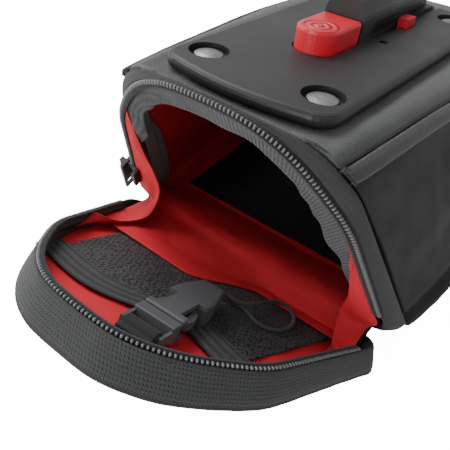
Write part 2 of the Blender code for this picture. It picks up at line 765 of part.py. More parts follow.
def plate_cutters():
    """Everything cut from the plate: rivet seats, button and latch slots, rail grooves, hollow."""
    cutters = []
    for x in (-rivet_x, rivet_x):
        for y in rivet_rows:
            seat = add_rod("seat", "dark_plastic", Vector((x, y, -2 * mm)), Vector((x, y, 5 * mm)),
                           6 * mm, 24)
            hole = add_rod("rivet_hole", "dark_plastic", Vector((x, y, -8 * mm)), Vector((x, y, 1 * mm)),
                           rivet_hole_radius, 16)
            cutters += [seat, hole]
    cutters.append(add_extrusion("button_hole", "dark_plastic", button_outline(0.5 * mm), -8 * mm, 5 * mm))
    cutters.append(add_box("mechanism_hollow", "dark_plastic", (-7.4, 13.0), (26, 85), (-9, -1.3)))
    cutters.append(add_box("latch_slot", "dark_plastic", (7.2, 11.9), (75.6, 83.4), (-9, 5)))
    cutters.append(add_box("sight_hole", "dark_plastic", (10.6, 13.2), (54.5, 57.4), (-9, 5)))
    rear = plate_rear / mm + 5
    for side in (1, -1):
        groove = tuple(sorted((side * 4.2, side * 9.0)))
        cutters.append(add_box("rail_groove", "dark_plastic", groove, (56, rear), (0.6, 4.9)))
        channel = tuple(sorted((side * 7.1, side * 9.4)))
        cutters.append(add_box("rail_channel", "dark_plastic", channel, (56, rear), (-0.9, 2)))
    return cutters


def button_outline(grow):
    """Plan of the button: round towards the mouth and straight against the barrel."""
    radius = button_half + grow
    centre_y = button_front + button_half
    back = button_back + min(grow, gap / 2)     # the barrel starts a gap behind the button
    points = [Vector((radius, back)), Vector((-radius, back))]
    for i in range(17):
        turn = pi + pi * i / 16
        points.append(Vector((radius * cos(turn), centre_y + radius * sin(turn))))
    return points


def add_button():
    button = add_extrusion("release_button", "red_plastic", button_outline(0), -1.3 * mm, button_height)
    step = button.modifiers.new("bevel", "BEVEL")
    step.width = 0.9 * mm
    step.segments = 3
    step.limit_method = "ANGLE"
    step.angle_limit = radians(60)
    link = add_box("release_latch", "red_plastic", (-4.0, 4.0), (30, 46), (-2.4, -1.6))
    arm = add_box("latch_arm", "red_plastic", (2.0, 12.4), (44, 60), (-2.4, -1.6))
    rail = add_box("latch_rail", "red_plastic", (8.0, 11.2), (58, 82.8), (-2.4, -1.6))
    nose = add_box("latch_nose", "red_plastic", (7.7, 11.4), (76.2, 82.8), (-2.0, 3.0))
    for extra in (arm, rail, nose):
        cut(link, extra, "UNION")
    return [button, link, arm, rail, nose]


def add_rivets():
    """Rivets that clamp the plate to the top panel."""
    pieces = []
    panel_low = -(plate_thickness + gap + skin_thickness + gap)
    names = {(-1, 0): "rivet_front_left", (1, 0): "rivet_front_right",
             (-1, 1): "rivet_rear_left", (1, 1): "rivet_rear_right"}
    profile = [(0.0, -0.2), (2.4, -0.5), (4.2, -1.0), (4.4, -1.7), (2.0, -1.7),
               (2.0, panel_low / mm), (4.4, panel_low / mm), (4.4, panel_low / mm - 0.9),
               (0.0, panel_low / mm - 0.9)]
    for (side, row), name in names.items():
        steps = 20
        points = []
        faces = []
        rings = profile[1:-1]
        points.append(Vector((0, 0, profile[0][1] * mm)))
        for r, z in rings:
            for i in range(steps):
                turn = 2 * pi * i / steps
                points.append(Vector((r * cos(turn), r * sin(turn), z)) * mm)
        points.append(Vector((0, 0, profile[-1][1] * mm)))
        last = len(points) - 1
        for i in range(steps):
            j = (i + 1) % steps
            faces.append((0, 1 + i, 1 + j))
            for k in range(len(rings) - 1):
                a = 1 + k * steps
                b = a + steps
                faces.append((a + i, b + i, b + j, a + j))
            end = 1 + (len(rings) - 1) * steps
            faces.append((end + i, last, end + j))
        rivet = add_object(name, points, faces, "satin_metal")
        fix_normals(rivet)
        rivet.location = (side * rivet_x, rivet_rows[row], 0)
        pieces.append(rivet)
    return pieces


def cut_rivet_holes(frame):
    """Holes through the top panel where the rivets pass."""
    bpy.context.view_layer.update()
    panel = bpy.data.objects["top_panel"]
    for x in (-rivet_x, rivet_x):
        for y in rivet_rows:
            hole = add_rod("panel_hole", "top_fabric", Vector((x, y, -14 * mm)), Vector((x, y, 2 * mm)),
                           rivet_hole_radius, 16)
            hole.parent = frame
            cut(panel, hole)


clear_scene()
add_body()
add_zip()
add_slider()
add_flap()
plate_frame = add_plate()
cut_rivet_holes(plate_frame)
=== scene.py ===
# Saddle bag: soft shell, zipped dish flap, key holder and quick-release plate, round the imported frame.
from bisect import bisect_right
from math import atan2, cos, exp, pi, radians, sin, tan

import bmesh
import bpy
from mathutils import Matrix, Vector, noise


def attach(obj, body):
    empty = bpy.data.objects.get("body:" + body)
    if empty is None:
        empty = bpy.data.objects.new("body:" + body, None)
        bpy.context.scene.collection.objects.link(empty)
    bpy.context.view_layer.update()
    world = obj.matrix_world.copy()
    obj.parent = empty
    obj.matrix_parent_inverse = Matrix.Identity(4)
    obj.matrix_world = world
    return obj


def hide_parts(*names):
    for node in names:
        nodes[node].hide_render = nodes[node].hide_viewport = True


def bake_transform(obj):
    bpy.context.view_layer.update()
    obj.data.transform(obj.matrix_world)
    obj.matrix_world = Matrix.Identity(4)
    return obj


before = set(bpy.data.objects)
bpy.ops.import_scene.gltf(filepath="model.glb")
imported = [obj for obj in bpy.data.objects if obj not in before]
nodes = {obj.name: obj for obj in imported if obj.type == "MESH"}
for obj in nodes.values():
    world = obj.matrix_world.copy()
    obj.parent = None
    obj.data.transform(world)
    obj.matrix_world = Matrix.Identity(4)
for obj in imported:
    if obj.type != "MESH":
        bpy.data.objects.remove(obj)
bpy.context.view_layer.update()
mm = 0.001


# camera, floor and lights
view = {
    "place": (0.0707, -0.1705, 0.1592),
    "right": (0.7816, 0.6238, -0.0046),
    "up": (-0.4506, 0.5696, 0.6874),
    "back": (0.4314, -0.5352, 0.7263),
    "lens": 41.31,
    "clipStart": 0.01,
}
studio = {
    "sky": 0.85,
    "floorTone": 0.80,
    "floorHalf": 3.0,
    "seenWhite": 14.0,      # the floor and the sky are this bright to the camera only
    "lamps": (
        ("topSoftbox", (-0.45, 0.10, 0.62), (0, 0, 0.03), 0.50, 6.5),
        ("leftSoftbox", (-0.75, -0.25, 0.40), (0, -0.04, 0.03), 0.40, 2.6),
        ("frontFill", (-0.12, -0.88, 0.34), (0, -0.06, 0.03), 0.40, 6.0),
    ),
}


def addObject(name, data):
    made = bpy.data.objects.new(name, data)
    bpy.context.scene.collection.objects.link(made)
    return made


def makeCamera():
    data = bpy.data.cameras.new("camera")
    data.lens = view["lens"]
    data.clip_start = view["clipStart"]
    camera = addObject("camera", data)
    turn = Matrix((Vector(view["right"]), Vector(view["up"]), Vector(view["back"]))).transposed()
    camera.matrix_world = Matrix.Translation(view["place"]) @ turn.to_4x4()
    bpy.context.scene.camera = camera


def makeStudio():
    world = bpy.data.worlds.new("studioSky")
    world.use_nodes = True
    tree = world.node_tree
    sky = tree.nodes["Background"]
    sky.inputs["Color"].default_value = (1, 1, 1, 1)
    seen = addNode(tree, "ShaderNodeLightPath").outputs["Is Camera Ray"]
    feed(tree, sky.inputs["Strength"], calc(tree, "MULTIPLY_ADD", seen, studio["seenWhite"], studio["sky"]))
    bpy.context.scene.world = world
    for name, place, target, size, power in studio["lamps"]:
        data = bpy.data.lights.new(name, "AREA")
        data.shape = "DISK"
        data.size = size
        data.energy = power
        lamp = addObject(name, data)
        aim = (Vector(target) - Vector(place)).to_track_quat("-Z", "Y").to_matrix().to_4x4()
        lamp.matrix_world = Matrix.Translation(place) @ aim
    half = studio["floorHalf"]
    floor = makeMesh("floor", [(-half, -half, 0), (half, -half, 0), (half, half, 0), (-half, half, 0)],
                     [(0, 1, 2, 3)], floorFinish())


def floorFinish():
    made, tree, shader = startFinish("studioFloor", 0.9, specular=0.1)
    tone = studio["floorTone"]
    shader.inputs["Base Color"].default_value = (tone, tone, tone, 1)
    shader.inputs["Emission Color"].default_value = (1, 1, 1, 1)
    seen = addNode(tree, "ShaderNodeLightPath").outputs["Is Camera Ray"]
    feed(tree, shader.inputs["Emission Strength"], calc(tree, "MULTIPLY", seen, studio["seenWhite"]))
    return made


# meshes
def makeMesh(name, points, faces, finish, smooth=False):
    mesh = bpy.data.meshes.new(name)
    mesh.from_pydata([tuple(p) for p in points], [], faces)
    mesh.materials.append(finish)
    if smooth:
        mesh.shade_smooth()
    return addObject(name, mesh)


def gridMesh(name, rows, finish, wrap=False, flip=False):
    # surface through a grid of points, with a UV map in metres along its rows and columns
    count = len(rows[0])
    spans = count if wrap else count - 1
    middle = count // 2
    down = [0.0]
    for a, b in zip(rows, rows[1:]):
        down.append(down[-1] + (b[middle] - a[middle]).length)
    across = []
    for row in rows:
        run = [0.0]
        for c in range(spans):
            run.append(run[-1] + (row[(c + 1) % count] - row[c]).length)
        across.append([x - run[middle] for x in run])
    points = [p for row in rows for p in row]
    faces = []
    places = []
    for r in range(len(rows) - 1):
        for c in range(spans):
            corners = [(r, c), (r, c + 1), (r + 1, c + 1), (r + 1, c)]
            if flip:
                corners.reverse()
            faces.append([a * count + b % count for a, b in corners])
            places += [(across[a][b], down[a]) for a, b in corners]
    made = makeMesh(name, points, faces, finish, smooth=True)
    layer = made.data.uv_layers.new(name="cloth")
    for loop, place in zip(layer.data, places):
        loop.uv = place
    return made


def thicken(piece, thickness, offset=-1.0):
    step = piece.modifiers.new("thickness", "SOLIDIFY")
    step.thickness = thickness
    step.offset = offset
    return piece


def settle(piece, body, slot, *replaced):
    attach(piece, body)
    if replaced:
        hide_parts(*replaced)
    return piece


def closeRim(piece, belongs):
    # fills the open rim whose edges pass the test
    cap = bmesh.new()
    cap.from_mesh(piece.data)
    bmesh.ops.contextual_create(cap, geom=[e for e in cap.edges if e.is_boundary and belongs(e)])
    cap.to_mesh(piece.data)
    cap.free()


def applied(piece):
    # the piece with its modifiers made real
    bpy.context.view_layer.update()
    graph = bpy.context.evaluated_depsgraph_get()
    mesh = bpy.data.meshes.new_from_object(piece.evaluated_get(graph), preserve_all_data_layers=True,
                                           depsgraph=graph)
    piece.modifiers.clear()
    old = piece.data
    piece.data = mesh
    bpy.data.meshes.remove(old)
    return piece


def smoothstep(low, high, x):
    t = max(0.0, min(1.0, (x - low) / (high - low)))
    return t * t * (3 - 2 * t)


def bump(x, centre, width):
    return exp(-((x - centre) / width) ** 2)


def between(a, b, c, d, t):
    # smooth run from b to c, with a and d as their neighbours
    return 0.5 * (2 * b + (c - a) * t + (2 * a - 5 * b + 4 * c - d) * t * t
                  + (3 * b - a - 3 * c + d) * t ** 3)


def around(count):
    # even shares of a closed outline: from its top down the left side, along the bottom and up the right
    return [-1 + 2 * i / count for i in range(count)]


def spreadOver(start, end, count):
    return [start + (end - start) * i / count for i in range(count + 1)]


def through(points, count):
    # evenly counted points on a smooth curve through the given ones
    route = [Vector(p) for p in points]
    last = len(route) - 1
    made = []
    for i in range(count + 1):
        t = min(last - 1e-9, last * i / count)
        k = int(t)
        near = (route[max(0, min(last, j))] for j in (k - 1, k, k + 1, k + 2))
        made.append(between(*near, t - k))
    return made


# node helpers
def addNode(tree, kind, **settings):
    made = tree.nodes.new(kind)
    for key, value in settings.items():
        setattr(made, key, value)
    return made


def feed(tree, target, value):
    # sets a socket, or links another socket to it
    if isinstance(value, bpy.types.NodeSocket):
        tree.links.new(value, target)
    else:
        target.default_value = value


def calc(tree, operation, a, b=None, c=None):
    made = addNode(tree, "ShaderNodeMath", operation=operation)
    for socket, value in zip(made.inputs, (a, b, c)):
        if value is not None:
            feed(tree, socket, value)
    return made.outputs[0]


def newGroup(name, kind, inputs, outputs):
    tree = bpy.data.node_groups.new(name, kind)
    for way, sockets in (("INPUT", inputs), ("OUTPUT", outputs)):
        for label, socketKind, value in sockets:
            made = tree.interface.new_socket(name=label, in_out=way, socket_type=socketKind)
            if value is not None:
                made.default_value = value
    return tree, tree.nodes.new("NodeGroupInput").outputs, tree.nodes.new("NodeGroupOutput").inputs


def numberGroup(name, outputs, **inputs):
    # an input of None is a vector; every other socket is a number
    given = [(label, "NodeSocketVector" if value is None else "NodeSocketFloat", value)
             for label, value in inputs.items()]
    return newGroup(name, "ShaderNodeTree", given, [(label, "NodeSocketFloat", None) for label in outputs])


def noiseAt(tree, spot, scale, detail=2.0, roughness=0.5):
    made = addNode(tree, "ShaderNodeTexNoise")
    feed(tree, made.inputs["Vector"], spot)
    feed(tree, made.inputs["Scale"], scale)
    made.inputs["Detail"].default_value = detail
    made.inputs["Roughness"].default_value = roughness
    return made.outputs["Fac"]


def rangeOf(tree, value, low, high, toLow=0.0, toHigh=1.0, curve="LINEAR"):
    made = addNode(tree, "ShaderNodeMapRange", interpolation_type=curve)
    labels = ("Value", "From Min", "From Max", "To Min", "To Max")
    for label, number in zip(labels, (value, low, high, toLow, toHigh)):
        feed(tree, made.inputs[label], number)
    return made.outputs["Result"]


def ridges(tree, across, pitch):
    turns = calc(tree, "MULTIPLY", across, calc(tree, "DIVIDE", pi, pitch))
    return calc(tree, "ABSOLUTE", calc(tree, "SINE", turns))


# shared effects: they put out heights and masks only
def weaveEffect():
    # plain weave: threads over and under, a little uneven
    tree, given, out = numberGroup("clothWeave", ("Height", "Shade"), Vector=None, Threads=1500.0,
                                   Uneven=0.3, Ratio=1.0)
    wobble = noiseAt(tree, given["Vector"], 260.0)
    split = addNode(tree, "ShaderNodeSeparateXYZ")
    feed(tree, split.inputs[0], given["Vector"])
    phase = calc(tree, "MULTIPLY", given["Threads"], 2 * pi)
    drift = calc(tree, "MULTIPLY", calc(tree, "MULTIPLY", wobble, given["Uneven"]), 6.0)
    sideways = calc(tree, "SINE", calc(tree, "MULTIPLY_ADD", split.outputs[0], phase, drift))
    closer = calc(tree, "MULTIPLY", phase, given["Ratio"])
    lengthways = calc(tree, "SINE", calc(tree, "MULTIPLY_ADD", split.outputs[1], closer, drift))
    over = calc(tree, "MULTIPLY", sideways, lengthways)
    feed(tree, out["Height"], calc(tree, "MULTIPLY_ADD", over, 0.5, 0.5))
    feed(tree, out["Shade"], calc(tree, "MULTIPLY_ADD", calc(tree, "ABSOLUTE", over), -0.6, 1.0))
    return tree


def cellEffect():
    # three-way lattice of small pits, as on air mesh and honeycomb cloth
    tree, given, out = numberGroup("airMeshCells", ("Height", "Pit"), Vector=None, Pitch=0.0012, Uneven=0.2,
                                   Narrow=2.2)
    wobble = noiseAt(tree, given["Vector"], 400.0)
    drift = calc(tree, "MULTIPLY", calc(tree, "MULTIPLY", wobble, given["Uneven"]), 12.0)
    phase = calc(tree, "DIVIDE", 2 * pi, given["Pitch"])
    waves = []
    for turn in (90, 210, 330):
        dot = addNode(tree, "ShaderNodeVectorMath", operation="DOT_PRODUCT")
        feed(tree, dot.inputs[0], given["Vector"])
        dot.inputs[1].default_value = (cos(radians(turn)), sin(radians(turn)), 0)
        waves.append(calc(tree, "COSINE", calc(tree, "MULTIPLY_ADD", dot.outputs["Value"], phase, drift)))
    lattice = calc(tree, "ADD", calc(tree, "ADD", waves[0], waves[1]), waves[2])
    pit = rangeOf(tree, lattice, -0.4, given["Narrow"], curve="SMOOTHSTEP")
    feed(tree, out["Pit"], pit)
    feed(tree, out["Height"], calc(tree, "SUBTRACT", 1.0, pit))
    return tree


def ribEffect():
    # parallel cords across one direction, with fine thread marks along them
    tree, given, out = numberGroup("clothRibs", ("Height",), Along=0.0, Across=0.0, Pitch=0.001,
                                   Stitch=0.0005)
    rib = ridges(tree, given["Across"], given["Pitch"])
    mark = ridges(tree, given["Along"], given["Stitch"])
    feed(tree, out["Height"], calc(tree, "MULTIPLY_ADD", mark, 0.3, rib))
    return tree


def grainEffect():
    # fine moulded grain and a slow change of tone
    tree, given, out = numberGroup("fineGrain", ("Height", "Tone"), Vector=None, Grain=2500.0, Patch=45.0)
    feed(tree, out["Height"], noiseAt(tree, given["Vector"], given["Grain"], detail=3.0))
    feed(tree, out["Tone"], noiseAt(tree, given["Vector"], given["Patch"], detail=4.0, roughness=0.6))
    return tree


def wearEffect():
    # scattered pale scuffs and specks of dust
    tree, given, out = numberGroup("wearAndDust", ("Mask",), Vector=None, Scale=90.0, Cover=0.3)
    scuff = noiseAt(tree, given["Vector"], given["Scale"], detail=8.0, roughness=0.75)
    low = calc(tree, "SUBTRACT", 0.85, calc(tree, "MULTIPLY", given["Cover"], 0.4))
    feed(tree, out["Mask"], rangeOf(tree, scuff, low, calc(tree, "ADD", low, 0.2)))
    return tree


effects = {"weave": weaveEffect(), "cells": cellEffect(), "ribs": ribEffect(),
           "grain": grainEffect(), "wear": wearEffect()}
print("effects ready")


def place(tree, effect, **values):
    made = addNode(tree, "ShaderNodeGroup")
    made.node_tree = effects[effect]
    for label, value in values.items():
        feed(tree, made.inputs[label], value)
    return made.outputs


def startFinish(name, roughness, metallic=0.0, sheen=0.0, sheenRoughness=0.4, specular=0.5):
    made = bpy.data.materials.new(name)
    made.use_nodes = True
    tree = made.node_tree
    shader = tree.nodes["Principled BSDF"]
    shader.inputs["Roughness"].default_value = roughness
    shader.inputs["Metallic"].default_value = metallic
    shader.inputs["Specular IOR Level"].default_value = specular
    shader.inputs["Sheen Weight"].default_value = sheen
    shader.inputs["Sheen Roughness"].default_value = sheenRoughness
    return made, tree, shader


def mixColours(tree, mask, low, high):
    made = addNode(tree, "ShaderNodeMix", data_type="RGBA")
    feed(tree, made.inputs["Factor"], mask)
    feed(tree, made.inputs["A"], (*low, 1) if isinstance(low, tuple) else low)
    feed(tree, made.inputs["B"], (*high, 1) if isinstance(high, tuple) else high)
    return made.outputs["Result"]


def addBump(tree, shader, layers):
    # bump layers from the finest to the coarsest: (height, distance in metres, strength)
    normal = None
    for height, distance, strength in layers:
        made = addNode(tree, "ShaderNodeBump")
        made.inputs["Distance"].default_value = distance
        made.inputs["Strength"].default_value = strength
        feed(tree, made.inputs["Height"], height)
        if normal is not None:
            feed(tree, made.inputs["Normal"], normal)
        normal = made.outputs["Normal"]
    feed(tree, shader.inputs["Normal"], normal)


def coordinates(tree, source):
    return addNode(tree, "ShaderNodeTexCoord").outputs[source]


def varyRoughness(tree, shader, tone, low, high):
    feed(tree, shader.inputs["Roughness"], rangeOf(tree, tone, 0.3, 0.7, low, high))


def clothFinish(name, dark, light, threads=1500.0, ratio=1.0, uneven=0.3, relief=0.12, roughness=(0.8, 0.95),
                sheen=0.15, wear=0.25, dust=(0.30, 0.30, 0.30), specular=0.3):
    # plain-woven cloth whose pattern follows the piece's own UV map
    made, tree, shader = startFinish(name, roughness[0], sheen=sheen, specular=specular)
    spot = coordinates(tree, "UV")
    weave = place(tree, "weave", Vector=spot, Threads=threads, Uneven=uneven, Ratio=ratio)
    grain = place(tree, "grain", Vector=spot, Grain=threads * 1.3, Patch=70.0)
    scuffs = place(tree, "wear", Vector=spot, Scale=130.0, Cover=wear)
    shade = calc(tree, "MULTIPLY", weave["Shade"], calc(tree, "MULTIPLY_ADD", grain["Tone"], 0.9, 0.35))
    colour = mixColours(tree, shade, dark, light)
    colour = mixColours(tree, calc(tree, "MULTIPLY", scuffs["Mask"], 0.25), colour, dust)
    feed(tree, shader.inputs["Base Color"], colour)
    varyRoughness(tree, shader, grain["Tone"], *roughness)
    addBump(tree, shader, [(weave["Height"], relief * mm, 0.8), (grain["Height"], 0.06 * mm, 0.4)])
    return made


def cellFinish(name, dark, light, pitch=1.2, relief=0.25, roughness=(0.8, 0.95), sheen=0.1, wear=0.2,
               uneven=0.25, narrow=2.2):
    # air mesh: cloth with a lattice of small pits, painted darker in the pits as shade; narrow is how soon a
    # pit is fully dark
    made, tree, shader = startFinish(name, roughness[0], sheen=sheen, specular=0.3)
    spot = coordinates(tree, "UV")
    cells = place(tree, "cells", Vector=spot, Pitch=pitch * mm, Uneven=uneven, Narrow=narrow)
    grain = place(tree, "grain", Vector=spot, Grain=2600.0, Patch=60.0)
    scuffs = place(tree, "wear", Vector=spot, Scale=140.0, Cover=wear)
    # colour follows the cells' height: painted shade in the pits, times the grain's random tone
    shade = calc(tree, "MULTIPLY", cells["Height"], calc(tree, "MULTIPLY_ADD", grain["Tone"], 1.0, 0.35))
    colour = mixColours(tree, shade, dark, light)
    colour = mixColours(tree, calc(tree, "MULTIPLY", scuffs["Mask"], 0.2), colour, (0.2, 0.2, 0.2))
    feed(tree, shader.inputs["Base Color"], colour)
    varyRoughness(tree, shader, grain["Tone"], *roughness)
    addBump(tree, shader, [(cells["Height"], relief * mm, 0.9), (grain["Height"], 0.08 * mm, 0.4)])
    return made


def ribFinish(name, dark, light, pitch=0.9, stitch=0.5, relief=0.2, alongU=True, roughness=(0.75, 0.9)):
    # ribbed band, painted darker between the ribs as shade; the ribs run along U, or along V
    made, tree, shader = startFinish(name, roughness[0], sheen=0.1, specular=0.3)
    spot = coordinates(tree, "UV")
    split = addNode(tree, "ShaderNodeSeparateXYZ")
    feed(tree, split.inputs[0], spot)
    along, across = (split.outputs[0], split.outputs[1]) if alongU else (split.outputs[1], split.outputs[0])
    ribs = place(tree, "ribs", Along=along, Across=across, Pitch=pitch * mm, Stitch=stitch * mm)
    grain = place(tree, "grain", Vector=spot, Grain=2400.0, Patch=80.0)
    # colour follows the ribs' height: painted shade in the grooves, times the grain's random tone
    shade = calc(tree, "MULTIPLY", ribs["Height"], calc(tree, "MULTIPLY_ADD", grain["Tone"], 0.8, 0.4))
    feed(tree, shader.inputs["Base Color"], mixColours(tree, shade, dark, light))
    varyRoughness(tree, shader, grain["Tone"], *roughness)
    addBump(tree, shader, [(ribs["Height"], relief * mm, 0.8), (grain["Height"], 0.05 * mm, 0.4)])
    return made


def plasticFinish(name, colour, worn, roughness=(0.38, 0.5), relief=0.03, wear=0.3, specular=0.5):
    # moulded plastic with a fine spark-eroded grain, faint scuffs and uneven gloss
    made, tree, shader = startFinish(name, roughness[0], specular=specular)
    spot = coordinates(tree, "Object")
    grain = place(tree, "grain", Vector=spot, Grain=2600.0, Patch=55.0)
    scuffs = place(tree, "wear", Vector=spot, Scale=220.0, Cover=wear)
    darker = tuple(c * 0.85 for c in colour)
    base = mixColours(tree, grain["Tone"], darker, colour)
    base = mixColours(tree, calc(tree, "MULTIPLY", scuffs["Mask"], 0.3), base, worn)
    feed(tree, shader.inputs["Base Color"], base)
    varyRoughness(tree, shader, grain["Tone"], *roughness)
    addBump(tree, shader, [(grain["Height"], relief * mm, 0.6)])
    return made


def ringFinish(name, base, centre, pitch, reach):
    # a copy of a finish with concentric ridges pressed into it round one spot
    made = base.copy()
    made.name = name
    tree = made.node_tree
    shader = tree.nodes["Principled BSDF"]
    away = addNode(tree, "ShaderNodeVectorMath", operation="DISTANCE")
    flat = addNode(tree, "ShaderNodeVectorMath", operation="MULTIPLY")
    feed(tree, flat.inputs[0], coordinates(tree, "Object"))
    flat.inputs[1].default_value = (1, 1, 0)
    feed(tree, away.inputs[0], flat.outputs["Vector"])
    away.inputs[1].default_value = centre
    distance = away.outputs["Value"]
    ridge = calc(tree, "SINE", calc(tree, "MULTIPLY", distance, 2 * pi / pitch))
    inside = calc(tree, "LESS_THAN", distance, reach)
    press = addNode(tree, "ShaderNodeBump")
    press.inputs["Distance"].default_value = 0.3 * mm
    feed(tree, press.inputs["Height"], calc(tree, "MULTIPLY", ridge, inside))
    feed(tree, press.inputs["Normal"], shader.inputs["Normal"].links[0].from_socket)
    feed(tree, shader.inputs["Normal"], press.outputs["Normal"])
    return made


def metalFinish(name, colour, roughness=(0.25, 0.42)):
    # satin metal with fine turning marks and a dull bloom
    made, tree, shader = startFinish(name, roughness[0], metallic=1.0)
    spot = coordinates(tree, "Object")
    grain = place(tree, "grain", Vector=spot, Grain=3000.0, Patch=160.0)
    scuffs = place(tree, "wear", Vector=spot, Scale=500.0, Cover=0.5)
    base = mixColours(tree, grain["Tone"], tuple(c * 0.7 for c in colour), colour)
    base = mixColours(tree, calc(tree, "MULTIPLY", scuffs["Mask"], 0.5), base, (0.25, 0.24, 0.23))
    feed(tree, shader.inputs["Base Color"], base)
    varyRoughness(tree, shader, grain["Tone"], *roughness)
    addBump(tree, shader, [(grain["Height"], 0.02 * mm, 0.5)])
    return made


finishes = {
    "topCloth": clothFinish("topCloth", (0.018, 0.0185, 0.019), (0.076, 0.078, 0.081), threads=900.0,
                            uneven=0.5, relief=0.16, wear=0.35),
    "sideNylon": clothFinish("sideNylon", (0.003, 0.003, 0.0035), (0.010, 0.010, 0.011), threads=2400.0,
                             ratio=0.6, uneven=0.1, relief=0.05, roughness=(0.6, 0.75), sheen=0.04, wear=0.1,
                             dust=(0.12, 0.12, 0.12), specular=0.2),
    "collarCloth": cellFinish("collarCloth", (0.010, 0.0105, 0.011), (0.036, 0.0372, 0.0385), pitch=0.85,
                              relief=0.18, narrow=2.8),
    "pipingCloth": clothFinish("pipingCloth", (0.012, 0.0125, 0.013), (0.036, 0.037, 0.039), threads=1300.0,
                               relief=0.1, roughness=(0.6, 0.8)),
    "redLining": clothFinish("redLining", (0.36, 0.014, 0.021), (0.62, 0.028, 0.040), threads=2100.0,
                             uneven=0.2, relief=0.05, roughness=(0.6, 0.76), sheen=0.0, wear=0.0,
                             dust=(0.5, 0.03, 0.04), specular=0.15),
    # dark cloth for the flap's facing and the lining's right wall, and also painted shade deep inside the
    # bag
    "darkLiningAndPaintedShade": clothFinish("darkLiningAndPaintedShade", (0.004, 0.004, 0.0045), (0.012, 0.012, 0.013), threads=2100.0,
                              relief=0.05, roughness=(0.6, 0.75)),
    "pocketMesh": cellFinish("pocketMesh", (0.002, 0.002, 0.002), (0.046, 0.046, 0.048), pitch=1.6,
                             relief=0.6, roughness=(0.4, 0.75), uneven=0.9, narrow=1.1),
    "finePocket": cellFinish("finePocket", (0.050, 0.050, 0.051), (0.200, 0.202, 0.206), pitch=0.8,
                             relief=0.15),
    "elastic": ribFinish("elastic", (0.008, 0.008, 0.009), (0.045, 0.046, 0.050), pitch=1.0, stitch=0.6),
    "webbing": ribFinish("webbing", (0.003, 0.003, 0.003), (0.016, 0.0165, 0.017), pitch=0.6, stitch=0.6,
                         relief=0.1, alongU=False),
    "zipTape": ribFinish("zipTape", (0.020, 0.021, 0.022), (0.078, 0.081, 0.084), pitch=1.3, stitch=0.5,
                         alongU=False),
    "zipCoil": plasticFinish("zipCoil", (0.105, 0.107, 0.112), (0.2, 0.2, 0.2), roughness=(0.25, 0.38)),
    "zipBase": clothFinish("zipBase", (0.004, 0.004, 0.004), (0.012, 0.012, 0.013), threads=2000.0),
    "sliderPaint": plasticFinish("sliderPaint", (0.010, 0.0105, 0.011), (0.04, 0.04, 0.04),
                                 roughness=(0.5, 0.62)),
    "greyPlastic": plasticFinish("greyPlastic", (0.0145, 0.0149, 0.0157), (0.09, 0.092, 0.095),
                                 roughness=(0.42, 0.55), specular=0.3),
    "bucklePlastic": plasticFinish("bucklePlastic", (0.075, 0.078, 0.083), (0.14, 0.145, 0.15),
                                   roughness=(0.36, 0.48)),
    "redPlastic": plasticFinish("redPlastic", (0.50, 0.010, 0.022), (0.60, 0.06, 0.08),
                                roughness=(0.34, 0.46), wear=0.2, specular=0.32),
    "satinMetal": metalFinish("satinMetal", (0.25, 0.25, 0.26), roughness=(0.34, 0.5)),
    "cordCover": ribFinish("cordCover", (0.018, 0.019, 0.021), (0.085, 0.088, 0.094), pitch=0.5, stitch=0.5,
                           relief=0.1, alongU=False),
    "thread": clothFinish("thread", (0.012, 0.012, 0.013), (0.05, 0.05, 0.053), threads=3000.0),
}
buttonRings = {"centre": (0, -37.5 * mm, 0), "pitch": 2.3 * mm, "reach": 6.4 * mm}
finishes["buttonPlastic"] = ringFinish("buttonPlastic", finishes["redPlastic"], **buttonRings)
print("finishes ready:", len(finishes))


# a row of small units along a line, with Geometry Nodes
def rowTree():
    tree, given, out = newGroup("unitRow", "GeometryNodeTree",
                                [("Line", "NodeSocketGeometry", None), ("Unit", "NodeSocketObject", None),
                                 ("Pitch", "NodeSocketFloat", 0.0015), ("Wobble", "NodeSocketFloat", 0.03),
                                 ("Seed", "NodeSocketInt", 7), ("Finish", "NodeSocketMaterial", None)],
                                [("Row", "NodeSocketGeometry", None)])

    def add(kind, **settings):
        return addNode(tree, kind, **settings)

    curve = add("GeometryNodeMeshToCurve")
    feed(tree, curve.inputs["Mesh"], given["Line"])
    even = add("GeometryNodeResampleCurve", mode="LENGTH")
    feed(tree, even.inputs["Curve"], curve.outputs["Curve"])
    feed(tree, even.inputs["Length"], given["Pitch"])
    unit = add("GeometryNodeObjectInfo")
    feed(tree, unit.inputs["Object"], given["Unit"])
    up = add("GeometryNodeInputNamedAttribute", data_type="FLOAT_VECTOR")
    up.inputs["Name"].default_value = "up"
    standing = add("FunctionNodeAlignRotationToVector", axis="Z")
    feed(tree, standing.inputs["Vector"], up.outputs["Attribute"])
    facing = add("FunctionNodeAlignRotationToVector", axis="X", pivot_axis="Z")
    feed(tree, facing.inputs["Rotation"], standing.outputs["Rotation"])
    feed(tree, facing.inputs["Vector"], add("GeometryNodeInputTangent").outputs["Tangent"])
    size = add("FunctionNodeRandomValue", data_type="FLOAT")
    feed(tree, size.inputs[2], calc(tree, "SUBTRACT", 1.0, given["Wobble"]))
    feed(tree, size.inputs[3], calc(tree, "ADD", 1.0, given["Wobble"]))
    feed(tree, size.inputs["Seed"], given["Seed"])
    copies = add("GeometryNodeInstanceOnPoints")
    feed(tree, copies.inputs["Points"], even.outputs["Curve"])
    feed(tree, copies.inputs["Instance"], unit.outputs["Geometry"])
    feed(tree, copies.inputs["Rotation"], facing.outputs["Rotation"])
    feed(tree, copies.inputs["Scale"], size.outputs[1])
    real = add("GeometryNodeRealizeInstances")
    feed(tree, real.inputs["Geometry"], copies.outputs["Instances"])
    dress = add("GeometryNodeSetMaterial")
    feed(tree, dress.inputs["Geometry"], real.outputs["Geometry"])
    feed(tree, dress.inputs["Material"], given["Finish"])
    feed(tree, out["Row"], dress.outputs["Geometry"])
    return tree


unitRow = rowTree()


